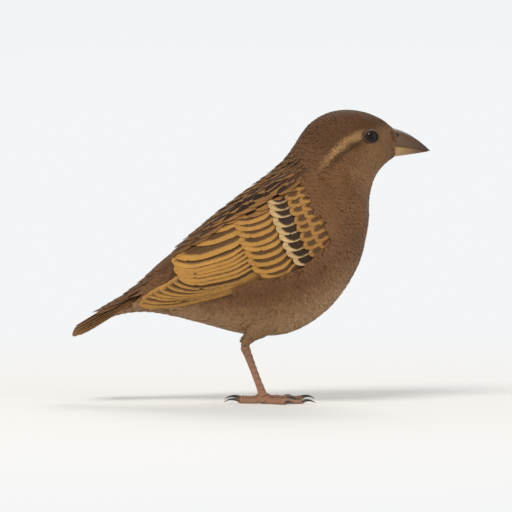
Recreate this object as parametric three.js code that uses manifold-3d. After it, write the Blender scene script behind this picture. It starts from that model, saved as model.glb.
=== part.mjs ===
// House sparrow (Passer domesticus), adult female, standing at ease, life size.
// Millimetres. +X runs towards the bill, +Y to the bird's left, +Z up from the ground.
// The flesh is modelled whole and parted with thin cuts; the folded wings and the tail
// carry their flight feathers and coverts as overlapping vanes, tier on tier.
import * as THREE from "three";
import { mergeVertices } from "three/addons/utils/BufferGeometryUtils.js";
import Module from "manifold-3d";

const wasm = await Module();
wasm.setup();

const GAP = 0.3; // kept between neighbouring nodes
const { lerp, clamp, degToRad } = THREE.MathUtils;

// ---------------------------------------------------------------- driving sizes

// Side outline of the body, from the tail coverts to the face. Each section has its top and
// bottom in the XZ plane, its half width, and the share of its height where it is widest.
const BODY = [
  { top: [-44, 37.6], bottom: [-46, 31.4], half: 4.2, waist: 0.5 },
  { top: [-36.6, 44.2], bottom: [-40, 31.8], half: 6.6, waist: 0.5 },
  { top: [-28, 52.6], bottom: [-31, 31.2], half: 9.4, waist: 0.5 },
  { top: [-17, 62.2], bottom: [-17, 27.6], half: 14.0, waist: 0.48 },
  { top: [-5, 71.8], bottom: [-1, 23.8], half: 18.6, waist: 0.46 },
  { top: [5, 79.2], bottom: [14, 24.6], half: 21.2, waist: 0.45 },
  { top: [11, 84.4], bottom: [27.5, 33.2], half: 21.0, waist: 0.45 },
  { top: [14.6, 89.0], bottom: [37.0, 47.0], half: 18.6, waist: 0.46 },
  { top: [17.4, 93.4], bottom: [40.8, 61.0], half: 15.8, waist: 0.48 },
  { top: [20.6, 97.4], bottom: [41.4, 71.6], half: 13.5, waist: 0.5 },
  { top: [26.0, 100.8], bottom: [43.0, 78.0], half: 12.4, waist: 0.5 },
  { top: [32.6, 102.2], bottom: [45.2, 81.6], half: 11.8, waist: 0.47 },
  { top: [39.6, 101.4], bottom: [47.4, 83.8], half: 10.4, waist: 0.46 },
  { top: [45.4, 99.0], bottom: [49.2, 85.2], half: 8.0, waist: 0.46 },
  { top: [49.0, 96.3], bottom: [50.3, 85.8], half: 5.1, waist: 0.45 },
];
const BODY_ROUNDNESS = 2.15; // superellipse power of the sections
const BODY_STEPS = 28;
const BODY_SIDES = 24;

// Section lines of the body where it is parted, as stations of BODY.
const TAIL_CUT = 2.15;
const NECK_CUT = 7.8;
const HEAD_CUT = 9.4;

// Folded wing. u runs from the wrist to the wing tip, v round the body from its widest line
// towards the back, both in millimetres along the surface.
const WING = {
  wrist: [28.5, 65.5],
  slope: degToRad(22),
  knot: 15, // spacing in u of the three rows below
  spread: [17.6, 21.2, 20.4, 16.4, 12.0, 8.0],
  height: [28.0, 30.0, 24.5, 18.0, 13.5, 10.5],
  middle: [-1.5, -5.5, -5.6, -4.6, -3.2, -2.0],
  low: [-4.6, -7.6, -7.4, -6.2, -5.0, -3.8], // lower edge, in v
  high: [18.0, 22.0, 22.6, 19.6, 13.5, 4.5], // upper edge, in v
  core: 1.4, // thickness of the arm, hand and feather bases under the vanes
  shoulder: 1.7, // how far the shoulder swells over the core
  front: -1.2, // where the core starts, in u
  coreEnd: 47,
  corner: 6.5, // how far the front corners of the core are rounded off
};

// Rows of vanes on the wing, outermost feather first. root and tip are [u, v] of the first and
// the last feather of the row; lift is the height over the wing's core at root and tip.
const VANE = { thickness: 0.55, camber: 0.12 };
const WING_ROWS = [
  { // primaries
    count: 7, segments: 4, root: [[28, -3.4], [28, 0.2]], tip: [[71, -1.8], [60, 2.4]], bulge: 5.2,
    width: [5.6, 7.4], lift: [0.05, 0.3], tilt: 0.26, bow: -1.3, round: 0.3,
  },
  { // secondaries
    count: 4, segments: 4, root: [[28, 2], [28, 9.4]], tip: [[57.5, 4.2], [57.5, 9.4]], bulge: 0,
    width: [7.8, 8.6], lift: [0.25, 0.9], tilt: 0.22, bow: -0.6, round: 0.24,
  },
  { // tertials
    count: 3, segments: 4, root: [[27, 12], [25, 19]], tip: [[56, 10.8], [42, 17.4]], bulge: 0,
    width: [9.8, 9.6], lift: [0.5, 1.4], tilt: 0.13, bow: 0.6, round: 0.4,
  },
  { // primary coverts
    count: 3, segments: 3, root: [[15, -4.8], [17, -3]], tip: [[26, -6.4], [31, -4]], bulge: 0,
    width: [4.0, 4.6], lift: [0.3, 0.9], tilt: 0.2, bow: -0.4, bed: 0, round: 0.5,
  },
  { // greater coverts
    count: 8, segments: 3, root: [[17, -2.4], [17, 18]], tip: [[31, -3], [32.5, 18.2]], bulge: 1.5,
    width: [6.8, 7.8], lift: [0.4, 1.6], tilt: 0.14, bow: -0.3, bed: 0, round: 0.5,
  },
  { // alula
    count: 2, segments: 3, root: [[8, -4.8], [8, -3.4]], tip: [[17, -6.6], [21, -5.4]], bulge: 0,
    width: [3.2, 3.6], lift: [0.7, 1.3], tilt: 0.2, bow: -0.3, bed: 0, round: 0.5,
  },
  { // median coverts
    count: 7, segments: 3, root: [[8, -2.0], [8, 16.8]], tip: [[18, -2.4], [19, 17.4]], bulge: 1.2,
    width: [6.8, 7.8], lift: [0.8, 2.1], tilt: 0.13, bow: -0.2, bed: 0, round: 0.6,
  },
];

// Tail: twelve feathers, the middle pair on top.
const TAIL = {
  tip: [-63.4, 25.4],
  slope: degToRad(31),
  pairs: 6,
  shown: 40, // from the feather tips to where they leave the tail's root
  notch: 2.4,
  width: 9.0,
  rootSpread: 0.35,
  tipSpread: 1.02,
  drop: 0.42,
  roll: degToRad(4),
};

// Head.
const EYE = {
  at: [41.4, 92.9],
  radius: 2.75,
  inset: 1.95, // how far the ball's middle lies under the skin
  lid: 0.45,
  opening: 2.3,
  proud: 1.55, // how far the lids stand outside the ball's middle
  turn: degToRad(10), // the eyes look a little forwards
};
const BILL = {
  root: 47.6,
  tip: 62.6,
  lowerShort: 0.8, // how much sooner the lower half ends
  culmen: 95.7,
  tipHeight: 88.0,
  mouth: 89.8,
  gonys: 85.9,
  half: 4.1,
};
const NOSTRIL = { at: [51.0, 2.7, 93.3], radius: 0.55 };

// Legs. The two legs are alike; the feet turn out a little.
const LEG = {
  spread: 9.4,
  knee: [10.5, 36],
  heel: [-2.5, 20.6],
  ankle: [4.2, 2.5],
  thigh: [6.8, 5.4, 2.5],
  shank: 1.1, // half thickness of the tarsus
  scutes: 5,
  stub: 3.5, // how far the foot pad runs into each toe
  turnOut: degToRad(5),
};
const TOES = [
  { digit: 1, yaw: 176, length: 8.2, radius: 1.05, claw: 5.6, joints: 1 },
  { digit: 2, yaw: 31, length: 9.6, radius: 0.95, claw: 3.9, joints: 2 },
  { digit: 3, yaw: -2, length: 13.8, radius: 1.0, claw: 4.5, joints: 3 },
  { digit: 4, yaw: -35, length: 10.2, radius: 0.9, claw: 3.8, joints: 3 },
];
const TOE_FLAT = 0.8; // height of a toe's axis over the ground, as a share of its radius
const CLAW = { bend: degToRad(62), clear: 0.32, point: 0.16, steps: 5 };

// ---------------------------------------------------------------- materials

const finish = (color, roughness) =>
  new THREE.MeshStandardMaterial({ color, roughness, metalness: 0 });
const plumage = finish(0x7a5638, 0.9);
const flightFeathers = finish(0xa57939, 0.8);
const tailFeathers = finish(0x6a462f, 0.8);
const horn = finish(0x6f5a45, 0.45);
const legSkin = finish(0xa87a5e, 0.6);
const clawHorn = finish(0x2e241d, 0.4);
const eyeBall = finish(0x140d08, 0.08);

// ---------------------------------------------------------------- solids

/** A closed geometry as a solid, whichever way its faces were wound. */
function toSolid(geometry) {
  const bare = new THREE.BufferGeometry();
  bare.setAttribute("position", geometry.getAttribute("position"));
  if (geometry.index) bare.setIndex(geometry.index);
  const merged = mergeVertices(bare, 1e-4);
  const vertProperties = merged.attributes.position.array;
  const triVerts = new Uint32Array(merged.index.array);
  const p = (i) => new THREE.Vector3().fromArray(vertProperties, 3 * triVerts[i]);
  let volume = 0;
  for (let i = 0; i < triVerts.length; i += 3) volume += p(i).dot(p(i + 1).cross(p(i + 2)));
  if (volume < 0) triVerts.reverse();
  return new wasm.Manifold(new wasm.Mesh({ numProp: 3, vertProperties, triVerts }));
}

function toMesh(name, solid, material) {
  const made = solid.getMesh();
  const geometry = new THREE.BufferGeometry();
  geometry.setAttribute("position", new THREE.BufferAttribute(made.vertProperties, 3));
  geometry.setIndex(new THREE.BufferAttribute(made.triVerts, 1));
  geometry.computeVertexNormals();
  const mesh = new THREE.Mesh(geometry, material);
  mesh.name = name;
  return mesh;
}

const join = (solids) => solids.reduce((a, b) => a.add(b));
const largest = (solid) =>
  solid.decompose().reduce((a, b) => (b.volume() > a.volume() ? b : a));

/** Joins rings of equal length into a closed skin, with a fan over each end. */
function skinOver(rings) {
  const sides = rings[0].length;
  const points = rings.flat();
  const faces = [];
  for (let i = 0; i + 1 < rings.length; i++)
    for (let j = 0; j < sides; j++) {
      const [a, b] = [i * sides + j, i * sides + ((j + 1) % sides)];
      faces.push(a, b, a + sides, b, b + sides, a + sides);
    }
  for (const [start, turned] of [[0, true], [(rings.length - 1) * sides, false]]) {
    const middle = new THREE.Vector3();
    for (let j = 0; j < sides; j++) middle.add(points[start + j]);
    points.push(middle.divideScalar(sides));
    for (let j = 0; j < sides; j++) {
      const [a, b] = [start + j, start + ((j + 1) % sides)];
      faces.push(...(turned ? [b, a] : [a, b]), points.length - 1);
    }
  }
  const geometry = new THREE.BufferGeometry().setFromPoints(points);
  geometry.setIndex(faces);
  return geometry;
}

/** A closed plate from two matching grids of points, outer and inner, as rows of equal length. */
function plate(outer, inner) {
  const rows = outer.length;
  const columns = outer[0].length;
  const points = [...outer.flat(), ...inner.flat()];
  const under = rows * columns;
  const faces = [];
  for (let i = 0; i + 1 < rows; i++)
    for (let j = 0; j + 1 < columns; j++) {
      const a = i * columns + j;
      const [b, c, d] = [a + 1, a + columns, a + columns + 1];
      faces.push(a, b, c, b, d, c);
      faces.push(under + a, under + c, under + b, under + b, under + c, under + d);
    }
  const rim = [];
  for (let j = 0; j < columns; j++) rim.push(j);
  for (let i = 1; i < rows; i++) rim.push(i * columns + columns - 1);
  for (let j = columns - 2; j >= 0; j--) rim.push((rows - 1) * columns + j);
  for (let i = rows - 2; i > 0; i--) rim.push(i * columns);
  rim.forEach((a, k) => {
    const b = rim[(k + 1) % rim.length];
    faces.push(a, under + a, b, b, under + a, under + b);
  });
  const geometry = new THREE.BufferGeometry().setFromPoints(points);
  geometry.setIndex(faces);
  return geometry;
}

/** Catmull-Rom through evenly spaced values, carried on in a straight line past its ends. */
function spline(values, t) {
  const last = values.length - 1;
  if (t <= 0) return values[0] + t * (values[1] - values[0]);
  if (t >= last) return values[last] + (t - last) * (values[last] - values[last - 1]);
  const i = Math.floor(t);
  const f = t - i;
  const at = (k) =>
    k < 0 ? 2 * values[0] - values[1]
      : k > last ? 2 * values[last] - values[last - 1]
        : values[k];
  const [a, b, c, d] = [at(i - 1), at(i), at(i + 1), at(i + 2)];
  return b + 0.5 * f * (c - a + f * (2 * a - 5 * b + 4 * c - d + f * (3 * (b - c) + d - a)));
}

const smooth = (x, low, high) => THREE.MathUtils.smoothstep(x, low, high);

// ---------------------------------------------------------------- body

const column = (read) => BODY.map(read);
const bodyRows = {
  topX: column((s) => s.top[0]),
  topZ: column((s) => s.top[1]),
  bottomX: column((s) => s.bottom[0]),
  bottomZ: column((s) => s.bottom[1]),
  half: column((s) => s.half),
  waist: column((s) => s.waist),
};

/** The body's section at station t: its top, bottom and widest points and its half width. */
function bodySection(t) {
  const v = Object.fromEntries(Object.entries(bodyRows).map(([k, row]) => [k, spline(row, t)]));
  const top = new THREE.Vector3(v.topX, 0, v.topZ);
  const bottom = new THREE.Vector3(v.bottomX, 0, v.bottomZ);
  return { top, bottom, middle: bottom.clone().lerp(top, v.waist), half: v.half };
}

const roundPower = (c) => Math.sign(c) * Math.abs(c) ** (2 / BODY_ROUNDNESS);

function bodyRing(t) {
  const { top, bottom, middle, half } = bodySection(t);
  return Array.from({ length: BODY_SIDES }, (_, k) => {
    const angle = (2 * Math.PI * k) / BODY_SIDES;
    const rise = roundPower(Math.sin(angle));
    const point = middle.clone().lerp(rise > 0 ? top : bottom, Math.abs(rise));
    point.y = half * roundPower(Math.cos(angle));
    return point;
  });
}

/** Half width of the body where the side view shows the point (x, z). */
function bodySide(x, z) {
  let [low, high] = [0, BODY.length - 1];
  for (let k = 0; k < 40; k++) {
    const t = (low + high) / 2;
    const { top, bottom } = bodySection(t);
    const ahead =
      (top.x - bottom.x) * (z - bottom.z) - (top.z - bottom.z) * (x - bottom.x);
    if (ahead < 0) low = t;
    else high = t;
  }
  const { top, bottom, middle, half } = bodySection(low);
  const end = z > middle.z ? top : bottom;
  const rise = clamp((z - middle.z) / (end.z - middle.z), 0, 1);
  return half * (1 - rise ** BODY_ROUNDNESS) ** (1 / BODY_ROUNDNESS);
}

/** A slab along the body's section line at station t, reaching forwards from the cut. */
function bodyCut(t, thickness = GAP) {
  const { top, bottom } = bodySection(t);
  const slab = new THREE.BoxGeometry(thickness, 120, 120);
  slab.translate((thickness - GAP) / 2, 0, 0);
  slab.rotateY(Math.atan2(top.x - bottom.x, top.z - bottom.z));
  slab.translate((top.x + bottom.x) / 2, 0, (top.z + bottom.z) / 2);
  return toSolid(slab);
}

function wholeBody() {
  const last = BODY.length - 1;
  const rings = Array.from({ length: BODY_STEPS + 1 }, (_, k) => bodyRing((k * last) / BODY_STEPS));
  return toSolid(skinOver(rings));
}

// ---------------------------------------------------------------- wings

/** A point of the left wing, at u, v and a height over the wing's core. */
function wingPoint(u, v, lift) {
  const t = u / WING.knot;
  const [spread, height, middle] = [
    spline(WING.spread, t), spline(WING.height, t), spline(WING.middle, t),
  ];
  const angle = (2 * v) / (spread + height);
  const normal = new THREE.Vector2(spread * Math.sin(angle), height * Math.cos(angle)).normalize();
  const h = middle + height * Math.sin(angle) + lift * normal.x;
  const y = spread * Math.cos(angle) + lift * normal.y;
  return new THREE.Vector3(
    WING.wrist[0] - u * Math.cos(WING.slope) - h * Math.sin(WING.slope),
    y,
    WING.wrist[1] - u * Math.sin(WING.slope) + h * Math.cos(WING.slope),
  );
}

/**
 * A plate over the wing from u first to last, with its front corners rounded. It runs past the
 * wing's two edges by its margins, and inner and outer give its heights from its share across.
 */
function wingPlate({ first, last, margins, rows, columns, inner, outer }) {
  const grid = (height) =>
    Array.from({ length: rows }, (_, i) =>
      Array.from({ length: columns }, (_, j) => {
        const across = j / (columns - 1);
        const along = i / (rows - 1);
        const edges = (u) => [spline(WING.low, u / WING.knot), spline(WING.high, u / WING.knot)];
        const [low, high] = edges(lerp(first, last, along));
        const share = lerp(-margins[0], high - low + margins[1], across) / (high - low);
        const u = lerp(first + WING.corner * Math.abs(2 * share - 1) ** 2.5, last, along);
        const [below, above] = edges(u);
        return wingPoint(u, lerp(below - margins[0], above + margins[1], across), height(across, u));
      }),
    );
  return toSolid(plate(grid(outer), grid(inner)));
}

const dome = (a) => Math.sqrt(Math.max(0, 1 - (2 * a - 1) ** 2)); // 0 at both ends, 1 between

/** Shoulder, arm and hand, on which the vanes are set: a thin lens, thicker over the shoulder. */
function wingCore() {
  const shoulder = (u) => WING.shoulder * smooth(u, -2, 4) * (1 - smooth(u, 6, 20));
  return wingPlate({
    first: WING.front, last: WING.coreEnd, margins: [0, 0], rows: 11, columns: 8,
    inner: (across) => -0.2 - WING.core * dome(across),
    outer: (across, u) => 0.2 + shoulder(u) * dome(across),
  });
}

/** The room that a wing takes up, cut from what lies beneath it. */
function wingRoom() {
  return wingPlate({
    first: WING.front - 2 * GAP, last: 76, margins: [1.3, 2.2], rows: 14, columns: 9,
    inner: (across) => -lerp(0.35, 0.75, across) - WING.core * dome(across),
    outer: () => 13,
  });
}

/** Half width of a vane along its length, as a share of its greatest. */
function vaneOutline(s, { round, grown = [0, 0.4] }) {
  const q = clamp((s - (1 - round)) / round, 0, 1);
  return lerp(0.5, 1, smooth(s, ...grown)) * Math.max(0.14, Math.sqrt(1 - q * q));
}

/**
 * A vane as a closed plate. place(along, across, lift) puts a point of the feather's own
 * plane in space; across runs from the outer edge, which lies on top, to the inner one. With a
 * bed, the underside lies at that height, sunk in what the vane grows from.
 */
function vane(spec, place) {
  const { segments, width, lift, tilt, bed } = spec;
  const stations = Array.from({ length: segments + 1 }, (_, k) => 1 - (1 - k / segments) ** 1.5);
  const grid = (upper) =>
    stations.map((s) =>
      [-1, 0, 1].map((side) => {
        const across = (side * width * vaneOutline(s, spec)) / 2;
        const top = lerp(lift[0], lift[1], s) - tilt * across + (side === 0 ? VANE.camber : 0);
        return place(s, across, upper ? top : bed ?? top - VANE.thickness);
      }),
    );
  return toSolid(plate(grid(true), grid(false)));
}

/** One row of the wing's vanes. */
function wingRow(row) {
  return Array.from({ length: row.count }, (_, k) => {
    const share = k / (row.count - 1);
    const mix = ([first, last]) => [lerp(first[0], last[0], share), lerp(first[1], last[1], share)];
    const [root, tip] = [mix(row.root), mix(row.tip)];
    tip[0] += row.bulge * Math.sin(Math.PI * share ** 0.6);
    const along = new THREE.Vector2(tip[0] - root[0], tip[1] - root[1]);
    const across = new THREE.Vector2(-along.y, along.x).normalize();
    const place = (s, side, lift) => {
      const shift = side + row.bow * Math.sin(Math.PI * s);
      return wingPoint(root[0] + along.x * s + across.x * shift,
        root[1] + along.y * s + across.y * shift, lift);
    };
    return vane({ ...row, width: lerp(row.width[0], row.width[1], share) }, place);
  });
}

function leftWing() {
  return largest(join([wingCore(), ...WING_ROWS.flatMap(wingRow)]));
}

/** The same solid on the other side of the body. */
function mirrored(solid) {
  const made = solid.getMesh();
  const geometry = new THREE.BufferGeometry();
  geometry.setAttribute("position", new THREE.BufferAttribute(made.vertProperties.slice(), 3));
  geometry.setIndex(new THREE.BufferAttribute(made.triVerts.slice(), 1));
  geometry.scale(1, -1, 1);
  return toSolid(geometry);
}

// ---------------------------------------------------------------- tail

/** The tail's vanes, from the tail's root to their tips. */
function tailVanes() {
  const back = new THREE.Vector3(-Math.cos(TAIL.slope), 0, -Math.sin(TAIL.slope));
  const up = new THREE.Vector3(-Math.sin(TAIL.slope), 0, Math.cos(TAIL.slope));
  const end = new THREE.Vector3(TAIL.tip[0], 0, TAIL.tip[1]);
  const vanes = [];
  for (let k = 0; k < TAIL.pairs; k++)
    for (const side of [1, -1]) {
      const length = TAIL.shown;
      const shorter = TAIL.notch * (1 - k / (TAIL.pairs - 1)) ** 1.5;
      const rootY = 0.6 + TAIL.rootSpread * k;
      const tipY = 0.8 + TAIL.tipSpread * k;
      const roll = TAIL.roll * (k + 0.5);
      const place = (s, across, lift) => {
        const y = lerp(rootY, tipY, s) + across * Math.cos(roll);
        const height = lift - TAIL.drop * k - across * Math.sin(roll);
        const sideways = k === 0 && side < 0 ? -0.25 : 0; // one of the middle pair lies under
        return end.clone()
          .addScaledVector(back, length * (s - 1) - shorter * s)
          .addScaledVector(up, height + sideways)
          .add(new THREE.Vector3(0, side * y, 0));
      };
      vanes.push(vane({
        segments: 4, width: TAIL.width * (1 - 0.02 * k), lift: [0, 0], tilt: 0, round: 0.2,
        grown: [0.15, 0.75],
      }, place));
    }
  return vanes;
}

// ---------------------------------------------------------------- head

/** Upper or lower half of the bill, grown by a margin all round. */
function billHalf(upper, margin = 0) {
  const steps = 8;
  const sides = 11;
  const sign = upper ? 1 : -1;
  const rings = Array.from({ length: steps + 1 }, (_, k) => {
    const s = 1 - (1 - k / steps) ** 1.25;
    const reach = (upper ? BILL.tip : BILL.tip - BILL.lowerShort) - BILL.root;
    const x = BILL.root + reach * s + margin * (2 * s - 1);
    const culmen = lerp(BILL.culmen, BILL.tipHeight, s ** 1.9);
    const gonys = lerp(BILL.gonys, BILL.tipHeight - 0.35, s ** 1.35);
    const mouth = lerp(BILL.mouth, BILL.tipHeight - 0.1, s) + 0.4 * Math.sin(Math.PI * s);
    const half = (upper ? 1 : 0.93) * BILL.half * (1 - s ** 1.5) + 0.22 + margin;
    const edge = mouth + (margin ? -sign * margin : (sign * GAP) / 2);
    const far = Math.max(0.3, sign * ((upper ? culmen : gonys) - edge)) + margin;
    return Array.from({ length: sides }, (_, j) => {
      const angle = (Math.PI * j) / (sides - 1);
      const y = half * Math.cos(angle);
      return new THREE.Vector3(x, y, edge + sign * far * Math.sin(angle) ** 0.9);
    });
  });
  return toSolid(skinOver(rings));
}

function ball(radius, center, scale = [1, 1, 1], detail = [14, 9]) {
  const geometry = new THREE.SphereGeometry(radius, ...detail);
  geometry.scale(...scale);
  geometry.translate(...center);
  return toSolid(geometry);
}

const eyeCenter = (side) => [
  EYE.at[0], side * (bodySide(...EYE.at) - EYE.inset), EYE.at[1],
];

/** The rim of both lids, a ring round the eye's opening. */
function lids(side) {
  const ring = new THREE.TorusGeometry(EYE.opening, EYE.lid, 5, 16);
  ring.scale(1.12, 0.96, 1);
  ring.rotateX(Math.PI / 2);
  ring.rotateZ(-side * EYE.turn);
  const [x, y, z] = eyeCenter(side);
  ring.translate(x, y + side * EYE.proud, z);
  return toSolid(ring);
}

// ---------------------------------------------------------------- legs

/** A limb through the given centres, with a radius at each and sections square to its run. */
function limb(centers, radii, sides = 12, floor = null, flatness = 1) {
  const rings = centers.map((center, i) => {
    const before = centers[Math.max(0, i - 1)];
    const after = centers[Math.min(centers.length - 1, i + 1)];
    const run = after.clone().sub(before).normalize();
    const level = new THREE.Vector3(0, 0, 1).cross(run);
    if (level.length() < 0.2) level.set(0, 1, 0);
    level.normalize();
    const rise = run.clone().cross(level);
    return Array.from({ length: sides }, (_, j) => {
      const angle = (2 * Math.PI * (j + 0.5)) / sides;
      const point = center.clone()
        .addScaledVector(level, radii[i] * Math.cos(angle) * flatness)
        .addScaledVector(rise, radii[i] * Math.sin(angle));
      if (floor !== null) point.z = Math.max(floor, point.z);
      return point;
    });
  });
  return toSolid(skinOver(rings));
}

const legPoint = ([x, z], side, inward = 0) =>
  new THREE.Vector3(x, side * (LEG.spread - inward), z);

function thigh(side, margin = 0) {
  const [knee, heel] = [legPoint(LEG.knee, side, 0.6), legPoint(LEG.heel, side)];
  const steps = 6;
  const share = Array.from({ length: steps + 1 }, (_, k) => k / steps);
  const run = heel.clone().sub(knee);
  const centers = share.map((s) => knee.clone().addScaledVector(run, s * 0.9));
  const [hip, middle, end] = LEG.thigh;
  const radii = share.map((s) =>
    margin + (s < 0.5 ? lerp(hip, middle, s * 2) : lerp(middle, end, smooth(s, 0.45, 1))));
  return limb(centers, radii, 16);
}

/** Direction of a toe on the ground; the feet turn out a little. */
function toeDirection(toe, side) {
  const yaw = side * (LEG.turnOut - degToRad(toe.yaw));
  return new THREE.Vector3(Math.cos(yaw), Math.sin(yaw), 0);
}

/** Tarsus, from the heel to the toe stubs, with the scutes of its front. */
function shank(side) {
  const [heel, ankle] = [legPoint(LEG.heel, side), legPoint(LEG.ankle, side)];
  const run = ankle.clone().sub(heel);
  const length = run.length();
  run.normalize();
  const forward = new THREE.Vector3(0, 1, 0).cross(run).multiplyScalar(-1);
  if (forward.x < 0) forward.negate();
  const share = [0, 0.04, 0.1, 0.2, 0.5, 0.8, 0.92, 1];
  const swell = [0.9, 1.35, 1.35, 1.05, 0.95, 1.0, 1.3, 1.25];
  const centers = share.map((s) => heel.clone().addScaledVector(run, s * length));
  const pieces = [limb(centers, swell.map((k) => k * LEG.shank), 8)];
  for (let k = 0; k < LEG.scutes; k++) {
    const s = lerp(0.17, 0.84, k / (LEG.scutes - 1));
    const plateLength = (0.66 * length) / LEG.scutes;
    const center = heel.clone().addScaledVector(run, s * length).addScaledVector(forward, 0.5);
    pieces.push(limb(
      [-0.5, 0.5].map((q) => center.clone().addScaledVector(run, q * plateLength)),
      [0.66, 0.84].map((q) => q * LEG.shank), 6,
    ));
  }
  const pad = ball(1.9, [ankle.x, ankle.y, 1.45], [1.1, 1, 0.76], [10, 6]);
  pieces.push(pad);
  for (const toe of TOES) {
    const direction = toeDirection(toe, side);
    const height = toe.radius * TOE_FLAT;
    const start = new THREE.Vector3(ankle.x, ankle.y, height + 0.35);
    const stop = new THREE.Vector3(ankle.x, ankle.y, height).addScaledVector(direction, LEG.stub);
    pieces.push(limb([start, stop], [toe.radius, toe.radius], 8, 0));
  }
  return largest(join(pieces));
}

/** A toe from its stub to its claw, flat underneath where it stands. */
function toe(spec, side) {
  const ankle = legPoint(LEG.ankle, side);
  const direction = toeDirection(spec, side);
  const steps = 3 * spec.joints;
  const first = LEG.stub + GAP;
  const share = Array.from({ length: steps + 1 }, (_, k) => k / steps);
  const radii = share.map((s) => {
    const knuckle = 0.1 * Math.cos(2 * Math.PI * spec.joints * s);
    return spec.radius * (1 - 0.16 * s) * (0.95 + knuckle);
  });
  const centers = share.map((s, i) =>
    new THREE.Vector3(ankle.x, ankle.y, radii[i] * TOE_FLAT)
      .addScaledVector(direction, lerp(first, spec.length, s)));
  return limb(centers, radii, 8, 0);
}

/** A claw: a cone on an arc that leaves the toe rising a little and comes down to the ground. */
function claw(spec, side) {
  const ankle = legPoint(LEG.ankle, side);
  const direction = toeDirection(spec, side);
  const radius = spec.claw / CLAW.bend;
  const chord = 2 * radius * Math.sin(CLAW.bend / 2);
  const base = spec.radius * 0.88;
  const start = base * TOE_FLAT + 0.25;
  const rise = CLAW.bend / 2 - Math.asin((start - CLAW.clear) / chord);
  const share = Array.from({ length: CLAW.steps + 1 }, (_, k) => k / CLAW.steps);
  const centers = share.map((s) => {
    const angle = rise - CLAW.bend * s;
    const forward = radius * (Math.sin(rise) - Math.sin(angle));
    const up = radius * (Math.cos(angle) - Math.cos(rise));
    return new THREE.Vector3(ankle.x, ankle.y, start + up)
      .addScaledVector(direction, spec.length + GAP + forward);
  });
  const radii = share.map((s) => lerp(base * 0.8, CLAW.point, s ** 0.85));
  return limb(centers, radii, 6, 0.02, 0.85);
}

// ---------------------------------------------------------------- assembly

const sides = [["left", 1], ["right", -1]];
const nodes = [];

const wing = leftWing();
const room = wingRoom();
const wings = { left: wing, right: mirrored(wing) };
const rooms = [room, mirrored(room)];

let body = wholeBody().subtract(rooms[0]).subtract(rooms[1]);
for (const [, side] of sides) body = body.subtract(thigh(side, GAP));
const bill = { upper: billHalf(true), lower: billHalf(false) };
for (const upper of [true, false]) body = body.subtract(billHalf(upper, GAP));
for (const [, side] of sides) {
  body = body.add(lids(side));
  body = body.subtract(ball(EYE.radius + GAP, eyeCenter(side)));
}
for (const station of [TAIL_CUT, NECK_CUT, HEAD_CUT]) body = body.subtract(bodyCut(station));

// The four lengths of the body, told apart by where they lie.
const lengths = body.decompose().filter((piece) => piece.volume() > 20);
const reach = (piece) => piece.boundingBox().max[0];
lengths.sort((a, b) => reach(a) - reach(b));
const [tailRoot, torso, ...front] = lengths;
const [neck, head] = front.sort((a, b) => a.boundingBox().max[2] - b.boundingBox().max[2]);

const rectrices = join(tailVanes()).subtract(bodyCut(TAIL_CUT, 60));
const tail = largest(join([tailRoot, rectrices]).subtract(rooms[0]).subtract(rooms[1]));
nodes.push(toMesh("head", head, plumage), toMesh("neck", neck, plumage));
nodes.push(toMesh("torso", torso, plumage), toMesh("tail", tail, tailFeathers));

const nostrils = sides.map(([, side]) =>
  ball(NOSTRIL.radius, NOSTRIL.at.with(1, side * NOSTRIL.at[1]), [1.5, 2.2, 1], [10, 6]));
nodes.push(toMesh("bill_upper", largest(nostrils.reduce((a, b) => a.subtract(b), bill.upper)), horn));
nodes.push(toMesh("bill_lower", bill.lower, horn));

for (const [name, side] of sides) {
  nodes.push(toMesh(`eye_${name}`, ball(EYE.radius, eyeCenter(side)), eyeBall));
  nodes.push(toMesh(`wing_${name}`, wings[name], flightFeathers));
  const upperLeg = thigh(side);
  const lowerLeg = shank(side);
  const heelRoom = ball(LEG.shank * 1.35 + GAP, legPoint(LEG.heel, side).toArray());
  nodes.push(toMesh(`thigh_${name}`, largest(upperLeg.subtract(heelRoom)), plumage));
  nodes.push(toMesh(`shank_${name}`, lowerLeg, legSkin));
  for (const spec of TOES) {
    nodes.push(toMesh(`toe_${name}_${spec.digit}`, toe(spec, side), legSkin));
    nodes.push(toMesh(`claw_${name}_${spec.digit}`, claw(spec, side), clawHorn));
  }
}

const sparrow = new THREE.Group();
sparrow.name = "house_sparrow";
nodes.forEach((node) => sparrow.add(node));

// The origin is the middle of the bird's box, on the ground.
const box = new THREE.Box3().setFromObject(sparrow, true);
sparrow.position.set(-(box.min.x + box.max.x) / 2, -(box.min.y + box.max.y) / 2, -box.min.z);

export default sparrow;
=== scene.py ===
"""The looks of an adult female house sparrow, standing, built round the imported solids.

Shapes are worked out in millimetres in the bird's own frame, +X towards the bill, +Y to its
left and +Z up from the ground, from the sizes that the solids are made from, and are moved
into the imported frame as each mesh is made. Feathers are closed leaves and vanes laid over
three surfaces: the body, the folded wing and the thigh.
"""
import itertools
import math
from types import SimpleNamespace as Sizes

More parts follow.
